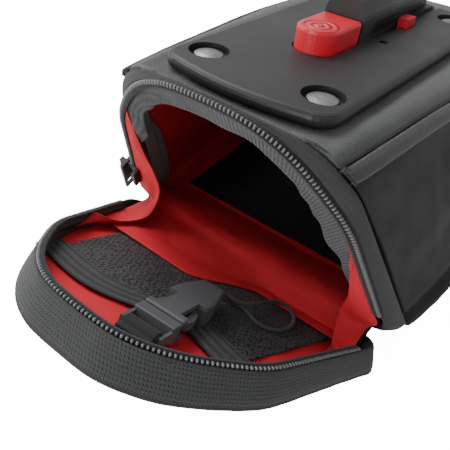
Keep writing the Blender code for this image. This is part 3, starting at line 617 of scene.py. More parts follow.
def unitBlock(name, size, taper=0.7):
    # small block with cut corners: a tooth, a stitch or a thread
    hx, hy, hz = (s * mm / 2 for s in size)
    rings = ((-hz, taper), (-hz * 0.4, 1.0), (hz * 0.4, 1.0), (hz, taper))
    cut = 0.6
    corners = ((1, cut), (cut, 1), (-cut, 1), (-1, cut), (-1, -cut), (-cut, -1), (cut, -1), (1, -cut))
    points = [(x * hx * wide, y * hy * wide, z) for z, wide in rings for x, y in corners]
    faces = [tuple(range(7, -1, -1)), tuple(24 + i for i in range(8))]
    for r in range(3):
        for i in range(8):
            j = (i + 1) % 8
            faces.append((r * 8 + i, r * 8 + j, r * 8 + 8 + j, r * 8 + 8 + i))
    return makeMesh(name, points, faces, finishes["thread"], smooth=True)


def rowAlong(name, lines, ups, unit, pitch, finish, wobble=0.03, seed=7):
    # copies of the unit along polylines; ups hold each point's outward direction
    points = [p for line in lines for p in line]
    edges = []
    start = 0
    for line in lines:
        edges += [(start + i, start + i + 1) for i in range(len(line) - 1)]
        start += len(line)
    mesh = bpy.data.meshes.new(name)
    mesh.from_pydata([tuple(p) for p in points], edges, [])
    facing = mesh.attributes.new("up", "FLOAT_VECTOR", "POINT")
    facing.data.foreach_set("vector", [x for line in ups for up in line for x in up])
    made = addObject(name, mesh)
    step = made.modifiers.new("row", "NODES")
    step.node_group = unitRow
    values = {"Unit": unit, "Pitch": pitch * mm, "Wobble": wobble, "Seed": seed, "Finish": finish}
    for item in unitRow.interface.items_tree:
        if item.item_type == "SOCKET" and item.in_out == "INPUT" and item.name in values:
            step[item.identifier] = values[item.name]
    applied(made)
    made.data.shade_smooth()
    made.data.materials.clear()
    made.data.materials.append(finish)
    bpy.data.objects.remove(unit, do_unlink=True)
    return made


# the bag's measured form, as in its frame
form = {
    "hingeY": -70 * mm, "hingeZ": 12 * mm, "mouthTilt": radians(15.6), "flapTilt": radians(55.2),
    "flapDepth": 9.9 * mm, "flapGrowth": 0.04, "floorRise": 2.9 * mm, "plateSlope": radians(9.5),
    "plateTop": 87.3 * mm,
}
# sections from mouth to nose: place behind the hinge, height of the bottom, tilt, half widths low and high,
# drop of the top, arch, radius of the top and bottom corners
bodyRows = (
    (0, 12, 15.6, 57.0, 36.0, 4.9, 6.7, 37, 7),
    (13, 5, 19.3, 60.5, 37.0, 4.4, 2.7, 20, 7),
    (18.5, 2, 19.0, 62.5, 37.8, 4.3, 0.0, 14, 8),
    (45, 0, 13.0, 67.0, 40.5, 4.3, 0.0, 9, 9),
    (80, 0, 8.0, 66.5, 44.5, 4.3, 0.0, 9, 10),
    (112, 0, 3.0, 60.0, 42.5, 4.3, 0.0, 9, 12),
    (142, 5, 0.0, 45.0, 35.0, 7.0, 0.0, 10, 14),
    (158, 14, -4.0, 27.0, 25.0, 12.0, 0.0, 10, 12),
)
lastRow = len(bodyRows) - 1
cornerSteps = {"low": 12, "high": 24, "top": 12}


def fillet(before, corner, after, radius, steps):
    toBefore = (before - corner).normalized()
    toAfter = (after - corner).normalized()
    half = toBefore.angle(toAfter) / 2
    centre = corner + (toBefore + toAfter).normalized() * (radius / sin(half))
    start = corner + toBefore * (radius / tan(half)) - centre
    end = corner + toAfter * (radius / tan(half)) - centre
    turn = atan2(start.x * end.y - start.y * end.x, start.dot(end))
    return [centre + Matrix.Rotation(turn * i / steps, 2) @ start for i in range(steps + 1)]


def makeOutline(halfLow, halfHigh, height, arch, highRadius, lowRadius):
    # rounded trapezoid with an arched top; arc positions run up the side from the bottom's centre
    lowCentre, lowCorner = Vector((0, 0)), Vector((halfLow, 0))
    highCorner, highCentre = Vector((halfHigh, height)), Vector((0, height))
    lows, highs, tops = cornerSteps["low"], cornerSteps["high"], cornerSteps["top"]
    low = fillet(lowCentre, lowCorner, highCorner, lowRadius, lows)
    high = fillet(lowCorner, highCorner, highCentre, highRadius, highs)
    top = [highCentre.lerp(high[-1], 1 - i / tops) for i in range(1, tops + 1)]
    points = []
    for p in [lowCentre] + low + high + top:
        share = max(0.0, min(1.0, (p.y / height - 0.6) / 0.4))
        rise = arch * max(0.0, 1 - (p.x / halfHigh) ** 2) * share * share * (3 - 2 * share)
        points.append(Vector((p.x, p.y + rise)))
    lengths = [0.0]
    for a, b in zip(points, points[1:]):
        lengths.append(lengths[-1] + (b - a).length)
    return {"points": points, "lengths": lengths, "total": lengths[-1], "lowCorner": lengths[1 + lows // 2],
            "sideStart": lengths[1 + lows], "sideEnd": lengths[2 + lows],
            "highCorner": lengths[2 + lows + highs // 2]}


def spotOn(outline, arc):
    lengths, points = outline["lengths"], outline["points"]
    arc = max(0.0, min(outline["total"], arc))
    i = min(len(lengths) - 2, bisect_right(lengths, arc) - 1)
    return points[i].lerp(points[i + 1], (arc - lengths[i]) / (lengths[i + 1] - lengths[i]))


def outlineAt(outline, arc, inset=0.0):
    total = outline["total"]
    side = -1 if arc < 0 else 1
    spot = min(abs(arc), 2 * total - abs(arc))
    if abs(arc) > total:
        side = -side
    step = 0.4 * mm
    ahead, behind = spotOn(outline, spot + step), spotOn(outline, spot - step)
    if spot < step:
        behind = Vector((-spotOn(outline, step - spot).x, 0))
    if spot > total - step:
        mirrored = spotOn(outline, 2 * total - spot - step)
        ahead = Vector((-mirrored.x, mirrored.y))
    along = (ahead - behind).normalized()
    point = spotOn(outline, spot) + Vector((-along.y, along.x)) * inset
    return Vector((point.x * side, point.y))


def inPlane(uv, baseY, baseZ, tilt, depth=0.0):
    return Vector((uv.x, baseY - uv.y * sin(tilt) - depth * cos(tilt),
                   baseZ + uv.y * cos(tilt) - depth * sin(tilt)))


mouthSize = {"halfLow": 57 * mm, "halfHigh": 36 * mm, "height": 76.7 * mm, "arch": 6.7 * mm,
             "highRadius": 37 * mm, "lowRadius": 7 * mm}
mouth = makeOutline(**mouthSize)
mouthCentre = Vector((0, mouthSize["height"] / 2))
sections = {}


def bodySection(t):
    key = round(t, 4)
    if key in sections:
        return sections[key]
    i = max(0, min(lastRow - 1, int(t)))
    near = (bodyRows[max(0, min(lastRow, k))] for k in (i - 1, i, i + 1, i + 2))
    y, z, tilt, low, high, drop, arch, highRadius, lowRadius = (between(*four, t - i) for four in zip(*near))
    z = max(0.0, z) * mm
    tilt = radians(tilt)
    slope = tan(form["plateSlope"])
    top = form["plateTop"] - slope * y * mm - drop * mm
    height = (top - z) / (cos(tilt) - slope * sin(tilt))
    outline = makeOutline(low * mm, high * mm, height, max(0.0, arch) * mm, highRadius * mm, lowRadius * mm)
    sections[key] = {"y": y * mm, "z": z, "tilt": tilt, "outline": outline}
    return sections[key]


def bodyPoint(t, arc, inset):
    cut = bodySection(t)
    return inPlane(outlineAt(cut["outline"], arc, inset), form["hingeY"] + cut["y"], cut["z"], cut["tilt"])


def mouthPoint(arc, inset, back):
    edge = inPlane(outlineAt(mouth, arc, inset), form["hingeY"], form["hingeZ"], form["mouthTilt"])
    seam = bodySection(1)
    target = bodyPoint(1, arc / mouth["total"] * seam["outline"]["total"], inset)
    return edge + (target - edge).normalized() * back


def flapPoint(u, v, depth):
    return inPlane(Vector((u, v)), form["hingeY"], form["hingeZ"], form["flapTilt"], depth)


def flapRim(arc, inset, depth):
    flare = 1 + form["flapGrowth"] * (max(0.0, depth) / form["flapDepth"]) ** 2
    uv = mouthCentre + (outlineAt(mouth, arc, inset) - mouthCentre) * flare
    return flapPoint(uv.x, uv.y, depth)


# key cord: laid first, on the flap's floor
keyCord = {
    "diameter": 1.3 * mm,
    "steps": 240,
    "elasticTop": 1.3 * mm,     # above the flap's floor
    "middle": 3.75 * mm,        # the buckle's middle plane, above the elastic
    # across, up the flap, and above the buckle's middle plane, in mm
    "route": ((10.3, 36.2, 0.0), (10.9, 32.5, -0.9), (12.2, 29.2, -2.6), (14.6, 27.2, -3.1),
              (17.6, 26.8, -3.1), (20.6, 28.4, -3.1), (23.8, 30.2, -3.1), (27.2, 29.8, -3.1),
              (29.8, 26.8, -3.1), (31.0, 22.2, -3.1), (30.6, 16.8, -3.1), (28.4, 11.6, -3.0),
              (24.6, 8.8, -2.6), (20.9, 9.8, -2.4), (18.9, 14.2, -2.4), (18.4, 19.4, -2.2),
              (18.0, 24.2, -1.5), (16.4, 28.0, -1.4), (13.6, 29.8, -1.1), (11.4, 31.0, -0.2),
              (9.7, 33.3, 0.5), (8.5, 36.3, 0.0)),
}
floorDepth = form["flapDepth"] - form["floorRise"]
buckleDepth = floorDepth - keyCord["elasticTop"] - keyCord["middle"]


def makeKeyCord():
    places = [flapPoint(u * mm, v * mm, buckleDepth - up * mm) for u, v, up in keyCord["route"]]
    points = through(places, keyCord["steps"])
    curve = bpy.data.curves.new("keyCord", "CURVE")
    curve.dimensions = "3D"
    curve.bevel_depth = keyCord["diameter"] / 2
    curve.bevel_resolution = 4
    curve.use_fill_caps = True
    spline = curve.splines.new("POLY")
    spline.points.add(len(points) - 1)
    for target, p in zip(spline.points, points):
        target.co = (*p, 1)
    spline.use_smooth = True
    curve.materials.append(finishes["cordCover"])
    cord = addObject("keyCord", curve)
    settle(cord, "catch", "black_cord", "key_cord")


makeCamera()
makeStudio()
makeKeyCord()


# bag's outer panels
shell = {"skin": 0.9 * mm, "rows": 84, "seam": 1.0, "tuck": 0.9, "tuckWidth": 0.24, "noseTuck": 0.7,
         "noseTuckWidth": 0.12, "foldHeight": 14.0, "foldDepth": 2.3, "belly": 1.1, "band": 1.2}
plate = {"front": -10.6, "rear": 116.0, "frontHalf": 27.6, "rearHalf": 30.0, "swell": 1.5, "press": 0.25,
         "near": 1.0, "far": 5.5}


def rumple(p, size, seed, stretch=(1, 1, 1)):
    # soft uneven folds; stretch lengthens them along some axes
    q = Vector((p.x / stretch[0], p.y / stretch[1], p.z / stretch[2])) / (size * mm)
    return noise.noise(q + Vector((seed, seed * 0.7, 0)))


def topSwell(x, y):
    # how far the top cloth stands above its panel, pressed down under the plate, in mm
    behind = (y - form["hingeY"]) / mm
    half = plate["frontHalf"] + (plate["rearHalf"] - plate["frontHalf"]) * behind / plate["rear"]
    away = max(abs(x) / mm - half, plate["front"] - behind, behind - plate["rear"])
    return plate["swell"] * smoothstep(plate["near"], plate["far"], away) - plate["press"]


def panelGrid(name, finish, slot, replaced, arcRange, columns, insetAt):
    rows = []
    first = shell["seam"]
    for r in range(shell["rows"] + 1):
        t = first + (lastRow - first) * r / shell["rows"]
        outline = bodySection(t)["outline"]
        start, end = arcRange(outline)
        row = []
        for c in range(columns + 1):
            share = c / columns
            arc = start + (end - start) * share
            base = bodyPoint(t, arc, 0.0)
            tuck = (shell["tuck"] * bump(t, first, shell["tuckWidth"])
                    + shell["noseTuck"] * bump(t, lastRow, shell["noseTuckWidth"]))
            row.append(bodyPoint(t, arc, (insetAt(t, share, base) + tuck) * mm))
        rows.append(row)
    made = gridMesh(name, rows, finishes[finish], flip=True)
    thicken(made, shell["skin"])
    return settle(made, "bag", slot, replaced)


def makePanels():
    def topInset(t, share, p):
        edge = bump(share, 0, 0.03) + bump(share, 1, 0.03)
        fade = (1 - 0.8 * bump(share, 0, 0.06)) * (1 - 0.8 * bump(share, 1, 0.06))
        return edge - topSwell(p.x, p.y) * fade - 0.25 * rumple(p, 9, 3.1)

    panelGrid("topPanel", "topCloth", "top_fabric", "top_panel",
              lambda o: (o["highCorner"], 2 * o["total"] - o["highCorner"]), 64, topInset)

    def bottomInset(t, share, p):
        return 0.5 + 0.4 * rumple(p, 14, 5.2, (1.5, 1, 1))

    panelGrid("bottomPanel", "sideNylon", "side_fabric", "bottom_panel",
              lambda o: (-o["lowCorner"], o["lowCorner"]), 60, bottomInset)
    for side, word in ((1, "right"), (-1, "left")):
        def sideInset(t, share, p, s=side):
            height = p.z / mm
            behind = (p.y - form["hingeY"]) / mm
            ends = bump(t, shell["seam"], 0.35)
            crease = shell["foldDepth"] * bump(height, shell["foldHeight"] - behind * 0.03, 2.4)
            crease *= 1 - 0.7 * smoothstep(50, 95, behind)
            belly = -shell["belly"] * bump(share, 0.55, 0.28) * (1 - ends)
            band = -shell["band"] * bump(height, 6, 4) * (1 - smoothstep(70, 110, behind))
            folds = 1.1 * rumple(p, 15, 8.3 * s, (1, 2.6, 1)) + 0.35 * rumple(p, 7, 2.2 * s, (1, 1, 3))
            return 0.9 + crease + belly + band + folds * (0.45 + 0.55 * smoothstep(0.0, 0.25, 1 - share))

        panelGrid("sidePanel" + word.capitalize(), "sideNylon", "side_fabric", "side_panel_" + word,
                  lambda o, s=side: (s * o["lowCorner"], s * o["highCorner"]), 56, sideInset)
        if side < 0:
            bpy.data.objects["sidePanelLeft"].data.flip_normals()


nose = {"columns": 72, "out": 1.4, "sag": 0.4,
        # share of the way to the middle, and how far the cloth stands out there
        "rings": ((0.0, -1.0), (0.03, 0.2), (0.08, 0.9), (0.3, 2.6), (0.55, 3.7), (0.8, 4.3), (0.96, 4.5))}


def makeNose():
    cut = bodySection(lastRow)
    outline = cut["outline"]
    middle = Vector((0, outline["points"][-1].y / 2))
    rows = []
    for inward, swell in nose["rings"]:
        row = []
        for share in around(nose["columns"]):
            uv = outlineAt(outline, share * outline["total"]).lerp(middle, inward)
            p = inPlane(uv, form["hingeY"] + cut["y"], cut["z"], cut["tilt"], -(swell + nose["out"]) * mm)
            row.append(p + Vector((0, nose["sag"] * mm * rumple(p, 8, 1.7), 0)))
        rows.append(row)
    made = gridMesh("nosePanel", rows, finishes["sideNylon"], wrap=True, flip=True)
    front = rows[-1][0].y - 2 * mm
    closeRim(made, lambda e: all(v.co.y > front for v in e.verts) and e.calc_length() < 0.6 * mm)
    thicken(made, shell["skin"])
    settle(made, "bag", "side_fabric", "nose_panel")


makePanels()
makeNose()
print("outer panels ready")


# collar round the mouth and its seam
collar = {"columns": 220, "steps": 12, "pad": 0.9, "cloth": 1.2 * mm, "start": 3.8 * mm, "middle": 45 * mm,
          "lip": ((3.0, 5.2), (2.3, 3.6), (1.6, 2.8), (0.8, 2.5), (0.25, 2.9))}      # inset and depth


def darkenEdge(piece, count):
    # the first faces, beside the zip, are its black base cloth
    piece.data.materials.append(finishes["zipBase"])
    for face in piece.data.polygons[:count]:
        face.material_index = 1


def makeCollar():
    seam = bodySection(1)["outline"]["total"]
    total = mouth["total"]
    shares = around(collar["columns"])
    rows = [[mouthPoint(share * total, inset * mm, back * mm) for share in shares]
            for inset, back in collar["lip"]]
    for k in range(collar["steps"] + 1):
        t = k / collar["steps"]
        row = []
        for share in shares:
            start = mouthPoint(share * total, 0, collar["start"])
            p = start.lerp(bodyPoint(1, share * seam, 0), t)
            swell = collar["pad"] * sin(pi * t) ** 0.7 - 0.8 * bump(t, 1, 0.06)
            swell += 0.3 * rumple(p, 10, 4.4) * sin(pi * t)
            lowSide = smoothstep(14 * mm, 4 * mm, p.z)
            out = (p - Vector((0, p.y, collar["middle"]))).normalized()
            row.append(p + out * swell * (1 - lowSide) * mm)
        rows.append(row)
    made = gridMesh("mouthCollar", rows, finishes["collarCloth"], wrap=True, flip=True)
    darkenEdge(made, 3 * collar["columns"])
    thicken(made, collar["cloth"])
    settle(made, "bag", "collar_fabric", "mouth_collar")


makeCollar()


# piping along both top edges, with a bar tack at the mouth end
piping = {"inner": 0.5, "outer": 5.7, "height": 1.7, "sink": 0.55, "start": 0.06, "rows": 140, "columns": 12,
          "groove": 0.35, "grooveAt": 0.16, "cloth": 1.0 * mm}
tack = {"place": 0.12, "inner": 0.8, "length": 4.6, "rise": 1.2, "points": 24, "pitch": 0.55,
        "thread": (0.35, 1.3, 0.35)}


def makePiping(side, word):
    rows = []
    first = shell["seam"] + piping["start"]
    for r in range(piping["rows"] + 1):
        t = first + (lastRow - first) * r / piping["rows"]
        corner = bodySection(t)["outline"]["highCorner"]
        row = []
        for c in range(piping["columns"] + 1):
            share = c / piping["columns"]
            arc = side * (corner - (piping["inner"] + (piping["outer"] - piping["inner"]) * share) * mm)
            arch = (1 - (2 * share - 1) ** 4) ** 0.5
            groove = piping["groove"] * bump(share, piping["grooveAt"], 0.06)
            lift = piping["height"] * arch - groove - piping["sink"]
            slack = 0.12 * rumple(bodyPoint(t, arc, 0), 6, 6.1)
            row.append(bodyPoint(t, arc, -(lift + slack) * mm))
        rows.append(row)
    made = gridMesh("piping" + word.capitalize(), rows, finishes["pipingCloth"], flip=side < 0)
    thicken(made, piping["cloth"])
    settle(made, "bag", "collar_fabric", "piping_" + word)


def makeBarTack(side, word):
    t = shell["seam"] + tack["place"]
    corner = bodySection(t)["outline"]["highCorner"]
    line, ups = [], []
    for c in range(tack["points"]):
        arc = side * (corner - (tack["inner"] + tack["length"] * c / (tack["points"] - 1)) * mm)
        p = bodyPoint(t, arc, -tack["rise"] * mm)
        line.append(p)
        ups.append((p - bodyPoint(t, arc, 0)).normalized())
    made = rowAlong("barTack" + word.capitalize(), [line], [ups], unitBlock("tackThread", tack["thread"]),
                    tack["pitch"], finishes["thread"])
    settle(made, "bag", "collar_fabric")


for side, word in ((1, "right"), (-1, "left")):
    makePiping(side, word)
    makeBarTack(side, word)
print("collar and piping ready")


# zip: coil, tape outside and the ribbed tape inside
zipper = {
    "start": 7.0 * mm, "linePoints": 300, "columns": 400, "cloth": 0.4 * mm,
    "Mouth": {"pitch": 1.2, "tooth": (0.62, 1.1, 1.3), "inset": 0.85, "depth": 0.75},
    "Flap": {"pitch": 1.3, "tooth": (0.68, 0.8, 1.1), "inset": 0.95, "depth": 0.85},
    # inset and depth of the tape's outer half
    "outerTape": ((2.6, 0.4), (1.45, 0.5), (1.25, 1.3), (1.1, 2.2), (1.5, 3.0), (2.3, 4.6)),
}


def zipArcs(count):
    start = mouth["sideStart"] + zipper["start"]
    return spreadOver(start, 2 * mouth["total"] - start, count)


def outward(placeAt, arc, depth):
    return (placeAt(arc, 0, depth) - placeAt(arc, 2 * mm, depth)).normalized()


def makeZip(word, body, placeAt):
    arcs = zipArcs(zipper["linePoints"])
    facts = zipper[word]
    line = [placeAt(arc, facts["inset"] * mm, facts["depth"] * mm) for arc in arcs]
    ups = [outward(placeAt, arc, facts["depth"] * mm) for arc in arcs]
    coil = rowAlong("zipCoil" + word, [line], [ups], unitBlock("zipTooth", facts["tooth"], 0.6),
                    facts["pitch"], finishes["zipCoil"], wobble=0.04, seed=11)
    settle(coil, body, "zip_chain", "zip_chain_" + word.lower())
    arcs = zipArcs(zipper["columns"])
    rows = [[placeAt(arc, inset * mm, depth * mm) for arc in arcs] for inset, depth in zipper["outerTape"]]
    tape = gridMesh("zipTapeOuter" + word, rows, finishes["zipBase"])
    thicken(tape, zipper["cloth"])
    settle(tape, body, "zip_tape")


# the tape's inner half: it hangs in from the coil, ribbed across, with an uneven free edge
innerTape = {"columns": 1400, "steps": 9, "cloth": 0.35 * mm, "sewn": 1.9, "ribPitch": 1.3 * mm, "rib": 0.22,
             "mouthReach": 8.6, "mouthDepth": 1.5, "flapReach": 2.6, "flapDepth": 1.6}


def mouthTape(arc, t):
    # narrow up the left side, folded over at the top left, wide at the top right
    where = arc / mouth["total"]
    fold = bump(where, 1.33, 0.05)
    reach = innerTape["mouthReach"] - 5.8 * smoothstep(1.37, 1.46, where) + 2.2 * fold
    reach += 3.6 * bump(where, 0.68, 0.12) + noise.noise(Vector((arc / (11 * mm), 2.0, 0)))
    depth = innerTape["mouthDepth"] + 0.7 * t + 1.2 * t * noise.noise(Vector((arc / (8 * mm), t, 3.0)))
    return reach, depth - 1.2 * fold * sin(pi * t)


def flapTape(arc, t):
    return innerTape["flapReach"], innerTape["flapDepth"] + 3.4 * t


def makeInnerTape(word, body, placeAt, tapeAt):
    rows = []
    for k in range(innerTape["steps"] + 1):
        t = k / innerTape["steps"]
        row = []
        for arc in zipArcs(innerTape["columns"]):
            reach, depth = tapeAt(arc, t)
            inset = innerTape["sewn"] + (reach - innerTape["sewn"]) * t
            ripple = innerTape["rib"] * abs(sin(pi * arc / innerTape["ribPitch"]))
            row.append(placeAt(arc, inset * mm, (depth - ripple) * mm))
        rows.append(row)
    tape = gridMesh("zipTapeInner" + word, rows, finishes["zipTape"], flip=True)
    thicken(tape, innerTape["cloth"], 0.0)
    settle(tape, body, "zip_tape", "zip_tape_" + word.lower())


for word, body, placeAt, tapeAt in (("Mouth", "bag", mouthPoint, mouthTape),
                                    ("Flap", "flap", flapRim, flapTape)):
    makeZip(word, body, placeAt)
    makeInnerTape(word, body, placeAt, tapeAt)
print("zip ready")


# inside of the bag
lining = {"inset": 4.3, "rows": 60, "columns": 150, "front": 0.5, "rear": 0.25, "cloth": 0.5 * mm,
          # the right wall is dark; all that lies deeper than the red floor and left wall is dark too, as
          # painted shade
          "floorShare": 0.27, "rightShare": 0.80, "floorShadeStart": -47 * mm, "wallShadeStart": -4 * mm,
          "rearRim": 40 * mm}
innerPocket = {"steps": 24, "front": 0.45, "length": 1.55, "low": 5 * mm, "high": 3 * mm, "inset": 6.6,
               "round": 0.35, "slack": 1.2, "cloth": 0.5 * mm}


def makeLining():
    rows = []
    length = lastRow - lining["rear"] - lining["front"]
    for r in range(lining["rows"] + 1):
        t = lining["front"] + length * r / lining["rows"]
        total = bodySection(t)["outline"]["total"]
        row = []
        for share in around(lining["columns"]):
            p = bodyPoint(t, share * total, 0)
            slack = 1.1 * abs(rumple(p, 13, 9.4, (1, 1.6, 1))) + 0.4 * rumple(p, 5, 1.9)
            row.append(bodyPoint(t, share * total, (lining["inset"] + max(-0.2, slack)) * mm))
        rows.append(row)
    made = gridMesh("bodyLining", rows, finishes["redLining"], wrap=True)
    made.data.materials.append(finishes["darkLiningAndPaintedShade"])
    shares = around(lining["columns"])
    # the right wall takes the dark finish, and so do the faces deeper in, as painted shade
    for face in made.data.polygons:
        share = shares[face.index % lining["columns"]]
        onFloor = abs(share) < lining["floorShare"]
        rightSide = lining["floorShare"] < share < lining["rightShare"]
        if rightSide or face.center.y > lining["floorShadeStart" if onFloor else "wallShadeStart"]:
            face.material_index = 1
    closeRim(made, lambda e: e.verts[0].co.y > lining["rearRim"])
    thicken(made, lining["cloth"], 1.0)
    settle(made, "bag", "red_lining", "body_lining")


def makeInnerPocket():
    # mesh pocket with a rounded top on the left inner wall
    rows = []
    steps = innerPocket["steps"]
    for r in range(steps + 1):
        t = innerPocket["front"] + innerPocket["length"] * r / steps
        outline = bodySection(t)["outline"]
        start, end = outline["sideStart"] + innerPocket["low"], outline["sideEnd"] - innerPocket["high"]
        shorter = innerPocket["round"] * (1 - cos(pi * max(0.0, r - steps / 2) / steps))
        end = start + (end - start) * (1 - shorter)
        loose = 0.5 * rumple(bodyPoint(t, -start, 0), 9, 3.3)
        row = []
        for c in range(steps + 1):
            share = c / steps
            inset = innerPocket["inset"] + innerPocket["slack"] * sin(pi * share) + loose
            row.append(bodyPoint(t, -(start + (end - start) * share), inset * mm))
        rows.append(row)
    made = gridMesh("innerPocket", rows, finishes["finePocket"])
    thicken(made, innerPocket["cloth"], 0.0)
    settle(made, "bag", "black_mesh", "inner_pocket")


makeLining()
makeInnerPocket()
print("lining ready")


# flap: band, outer panel, lining
flap = {
    "columns": 220, "fall": 1.9, "bandCloth": 1.2 * mm,
    # inset and depth, from the zip over the side to the outer panel
    "band": ((3.2, 5.4), (2.4, 3.9), (1.6, 2.4), (0.9, 1.6), (0.3, 1.45), (-0.05, 1.9), (-0.35, 3.4),
             (-0.6, 5.2), (-0.7, 7.0), (-0.5, 8.6), (-0.1, 9.2), (-0.25, 9.6), (0.1, 10.2), (0.9, 10.6),
             (2.2, 10.8)),
    "facing": ((2.5, 3.4), (2.8, 4.6), (2.9, 5.8), (3.0, 7.6)), "facingStart": 3 * mm, "facingColumns": 260,
    "facingCloth": 0.4 * mm,
    "fillColumns": 160, "rings": (0.0, 0.03, 0.07, 0.13, 0.22, 0.33, 0.46, 0.6, 0.74, 0.87, 0.97),
    "outerInset": 1.2 * mm, "outerDepth": 9.9, "outerSwell": 1.3, "outerCloth": 1.0 * mm,
    "liningInset": 3.0 * mm, "liningDepth": 6.9, "liningCloth": 0.5 * mm,
}


def makeFlapBand():
    total = mouth["total"]
    rows = []
    for inset, depth in flap["band"]:
        row = []
        for share in around(flap["columns"]):
            p = flapRim(share * total, 0, depth * mm)
            swell = 0.25 * rumple(p, 9, 7.7)
            deeper = flap["fall"] * smoothstep(0.35, 0.95, abs(share)) * smoothstep(2.0, 9.0, depth)
            row.append(flapRim(share * total, (inset - swell) * mm, (depth + deeper) * mm))
        rows.append(row)
    made = gridMesh("flapBand", rows, finishes["collarCloth"], wrap=True)
    darkenEdge(made, 3 * flap["columns"])
    thicken(made, flap["bandCloth"])
    settle(made, "flap", "collar_fabric", "flap_band")
    start = mouth["sideStart"] + flap["facingStart"]
    arcs = spreadOver(start, 2 * total - start, flap["facingColumns"])
    rows = [[flapRim(arc, inset * mm, depth * mm) for arc in arcs] for inset, depth in flap["facing"]]
    facing = gridMesh("flapFacing", rows, finishes["darkLiningAndPaintedShade"], flip=True)
    thicken(facing, flap["facingCloth"])
    settle(facing, "flap", "collar_fabric")


def flapFill(name, finish, inset, depthAt, flip=False):
    # sheet over the flap's outline, made of shrinking rings
    total = mouth["total"]
    rows = []
    for inward in flap["rings"]:
        row = []
        for share in around(flap["fillColumns"]):
            rim = outlineAt(mouth, share * total, inset) - mouthCentre
            uv = (mouthCentre + rim * (1 + form["flapGrowth"])).lerp(mouthCentre, inward)
            row.append(flapPoint(uv.x, uv.y, depthAt(uv, inward) * mm))
        rows.append(row)
    made = gridMesh(name, rows, finishes[finish], wrap=True, flip=flip)
    closeRim(made, lambda e: e.calc_length() < 0.2 * mm)
    flat = made.data.uv_layers["cloth"]
    axis = Vector((0, -sin(form["flapTilt"]), cos(form["flapTilt"])))
    for loop in made.data.loops:
        co = made.data.vertices[loop.vertex_index].co
        flat.data[loop.index].uv = (co.x, co.dot(axis))
    return made


def outerDepth(uv, inward):
    lower = flap["fall"] * smoothstep(0.25, 1.0, uv.y / (80 * mm))
    return flap["outerDepth"] + lower + flap["outerSwell"] * smoothstep(0, 0.25, inward)


def liningDepth(uv, inward):
    slack = noise.noise(Vector((uv.x, uv.y, 0)) / (8 * mm))
    return flap["liningDepth"] - 0.6 * bump(inward, 0.05, 0.05) - 0.5 * slack


def makeFlapPanels():
    outer = flapFill("flapPanel", "topCloth", flap["outerInset"], outerDepth)
    thicken(outer, flap["outerCloth"])
    settle(outer, "flap", "top_fabric", "flap_panel")
    inner = flapFill("flapLining", "redLining", flap["liningInset"], liningDepth, flip=True)
    thicken(inner, flap["liningCloth"])
    settle(inner, "flap", "red_lining", "flap_lining")


makeFlapBand()
makeFlapPanels()
print("flap ready")


# flap's mesh pocket and its elastic
pocket = {"top": 49.6, "low": 4.0, "hem": 1.5, "rows": 60, "columns": 96, "lift": 0.5, "loft": 0.55,
          "cloth": 0.4 * mm}
elastic = {"low": 49.4, "width": 10.0, "left": -37.2, "length": 70.6, "taper": 3.0, "lift": 0.85,
           "ribs": 9, "rib": 0.28, "ribSteps": 6, "columns": 80, "sag": 0.25, "cloth": 0.5 * mm}


def elasticBow(u):
    # how far the elastic strays up the flap; it is drawn down beside the buckle, in mm
    return 5.0 - 9.0 * bump(u, 14, 15) + 2.5 * bump(u, -16, 14) - 3.0 * smoothstep(18, 36, u)


def pocketHalves(v):
    # the pocket's left and right edges at a height on the flap, in mm
    return -40 + (v - 6) * 0.12, 42 - (v - 6) * 0.22


def makePocket():
    rows = []
    height, width = pocket["rows"], pocket["columns"]
    for r in range(height + 1):
        v = pocket["low"] + (pocket["top"] + pocket["hem"] - pocket["low"]) * r / height
        left, right = pocketHalves(v)
        up = smoothstep(5, 50, v)
        row = []
        for c in range(width + 1):
            u = left + (right - left) * c / width
            puff = 1.0 * sin(pi * c / width) ** 0.5 * (0.4 + 0.6 * sin(pi * r / height))
            puff += 0.35 * noise.noise(Vector((u, v, 0)) / 7) + 0.16 * noise.noise(Vector((u, v, 4)) / 1.6)
            depth = floorDepth - (pocket["lift"] + puff * pocket["loft"]) * mm
            row.append(flapPoint(u * mm, (v + elasticBow(u) * up) * mm, depth))
        rows.append(row)
    made = gridMesh("meshPocket", rows, finishes["pocketMesh"])
    thicken(made, pocket["cloth"])
    settle(made, "flap", "black_mesh", "mesh_pocket")


def makeElastic():
    rows = []
    steps = elastic["ribs"] * elastic["ribSteps"]
    for r in range(steps + 1):
        share = r / steps
        length = elastic["length"] + elastic["taper"] * (1 - share)
        rib = elastic["rib"] * abs(sin(pi * share * elastic["ribs"]))
        row = []
        for c in range(elastic["columns"] + 1):
            along = c / elastic["columns"]
            u = elastic["left"] + length * along
            v = elastic["low"] + elastic["width"] * share + elasticBow(u)
            lift = elastic["lift"] + rib + elastic["sag"] * sin(pi * along)
            row.append(flapPoint(u * mm, v * mm, floorDepth - lift * mm))
        rows.append(row)
    made = gridMesh("pocketElastic", rows, finishes["elastic"])
    thicken(made, elastic["cloth"])
    settle(made, "flap", "black_webbing", "pocket_elastic")


makePocket()
makeElastic()


# red gussets and the cloth over the hinge
gusset = {
    "Left": {"side": -1, "mouthReach": 56, "flapReach": 40, "flat": (0.108, 0.022), "area": 0.00083,
             "free": ((-36.5, -84.5, 66.0), (-37.5, -79.5, 48.0), (-36.5, -77.5, 39.0), (-35.5, -77.0, 29.5),
                      (-36.5, -83.0, 21.5), (-40.0, -93.0, 24.5), (-45.5, -100.5, 32.5))},
    "Right": {"side": 1, "mouthReach": 45, "flapReach": 34, "flat": (0.092, 0.0145), "area": 0.00047,
              "free": ((42.6, -81.0, 55.0), (42.8, -81.0, 45.0), (42.6, -78.0, 33.5), (41.0, -76.5, 24.0),
                       (42.0, -79.5, 17.5), (44.5, -86.0, 18.0), (46.5, -95.5, 29.0))},
}
gussetGrid = {"along": 72, "across": 24, "spots": 6, "cloth": 0.45 * mm}


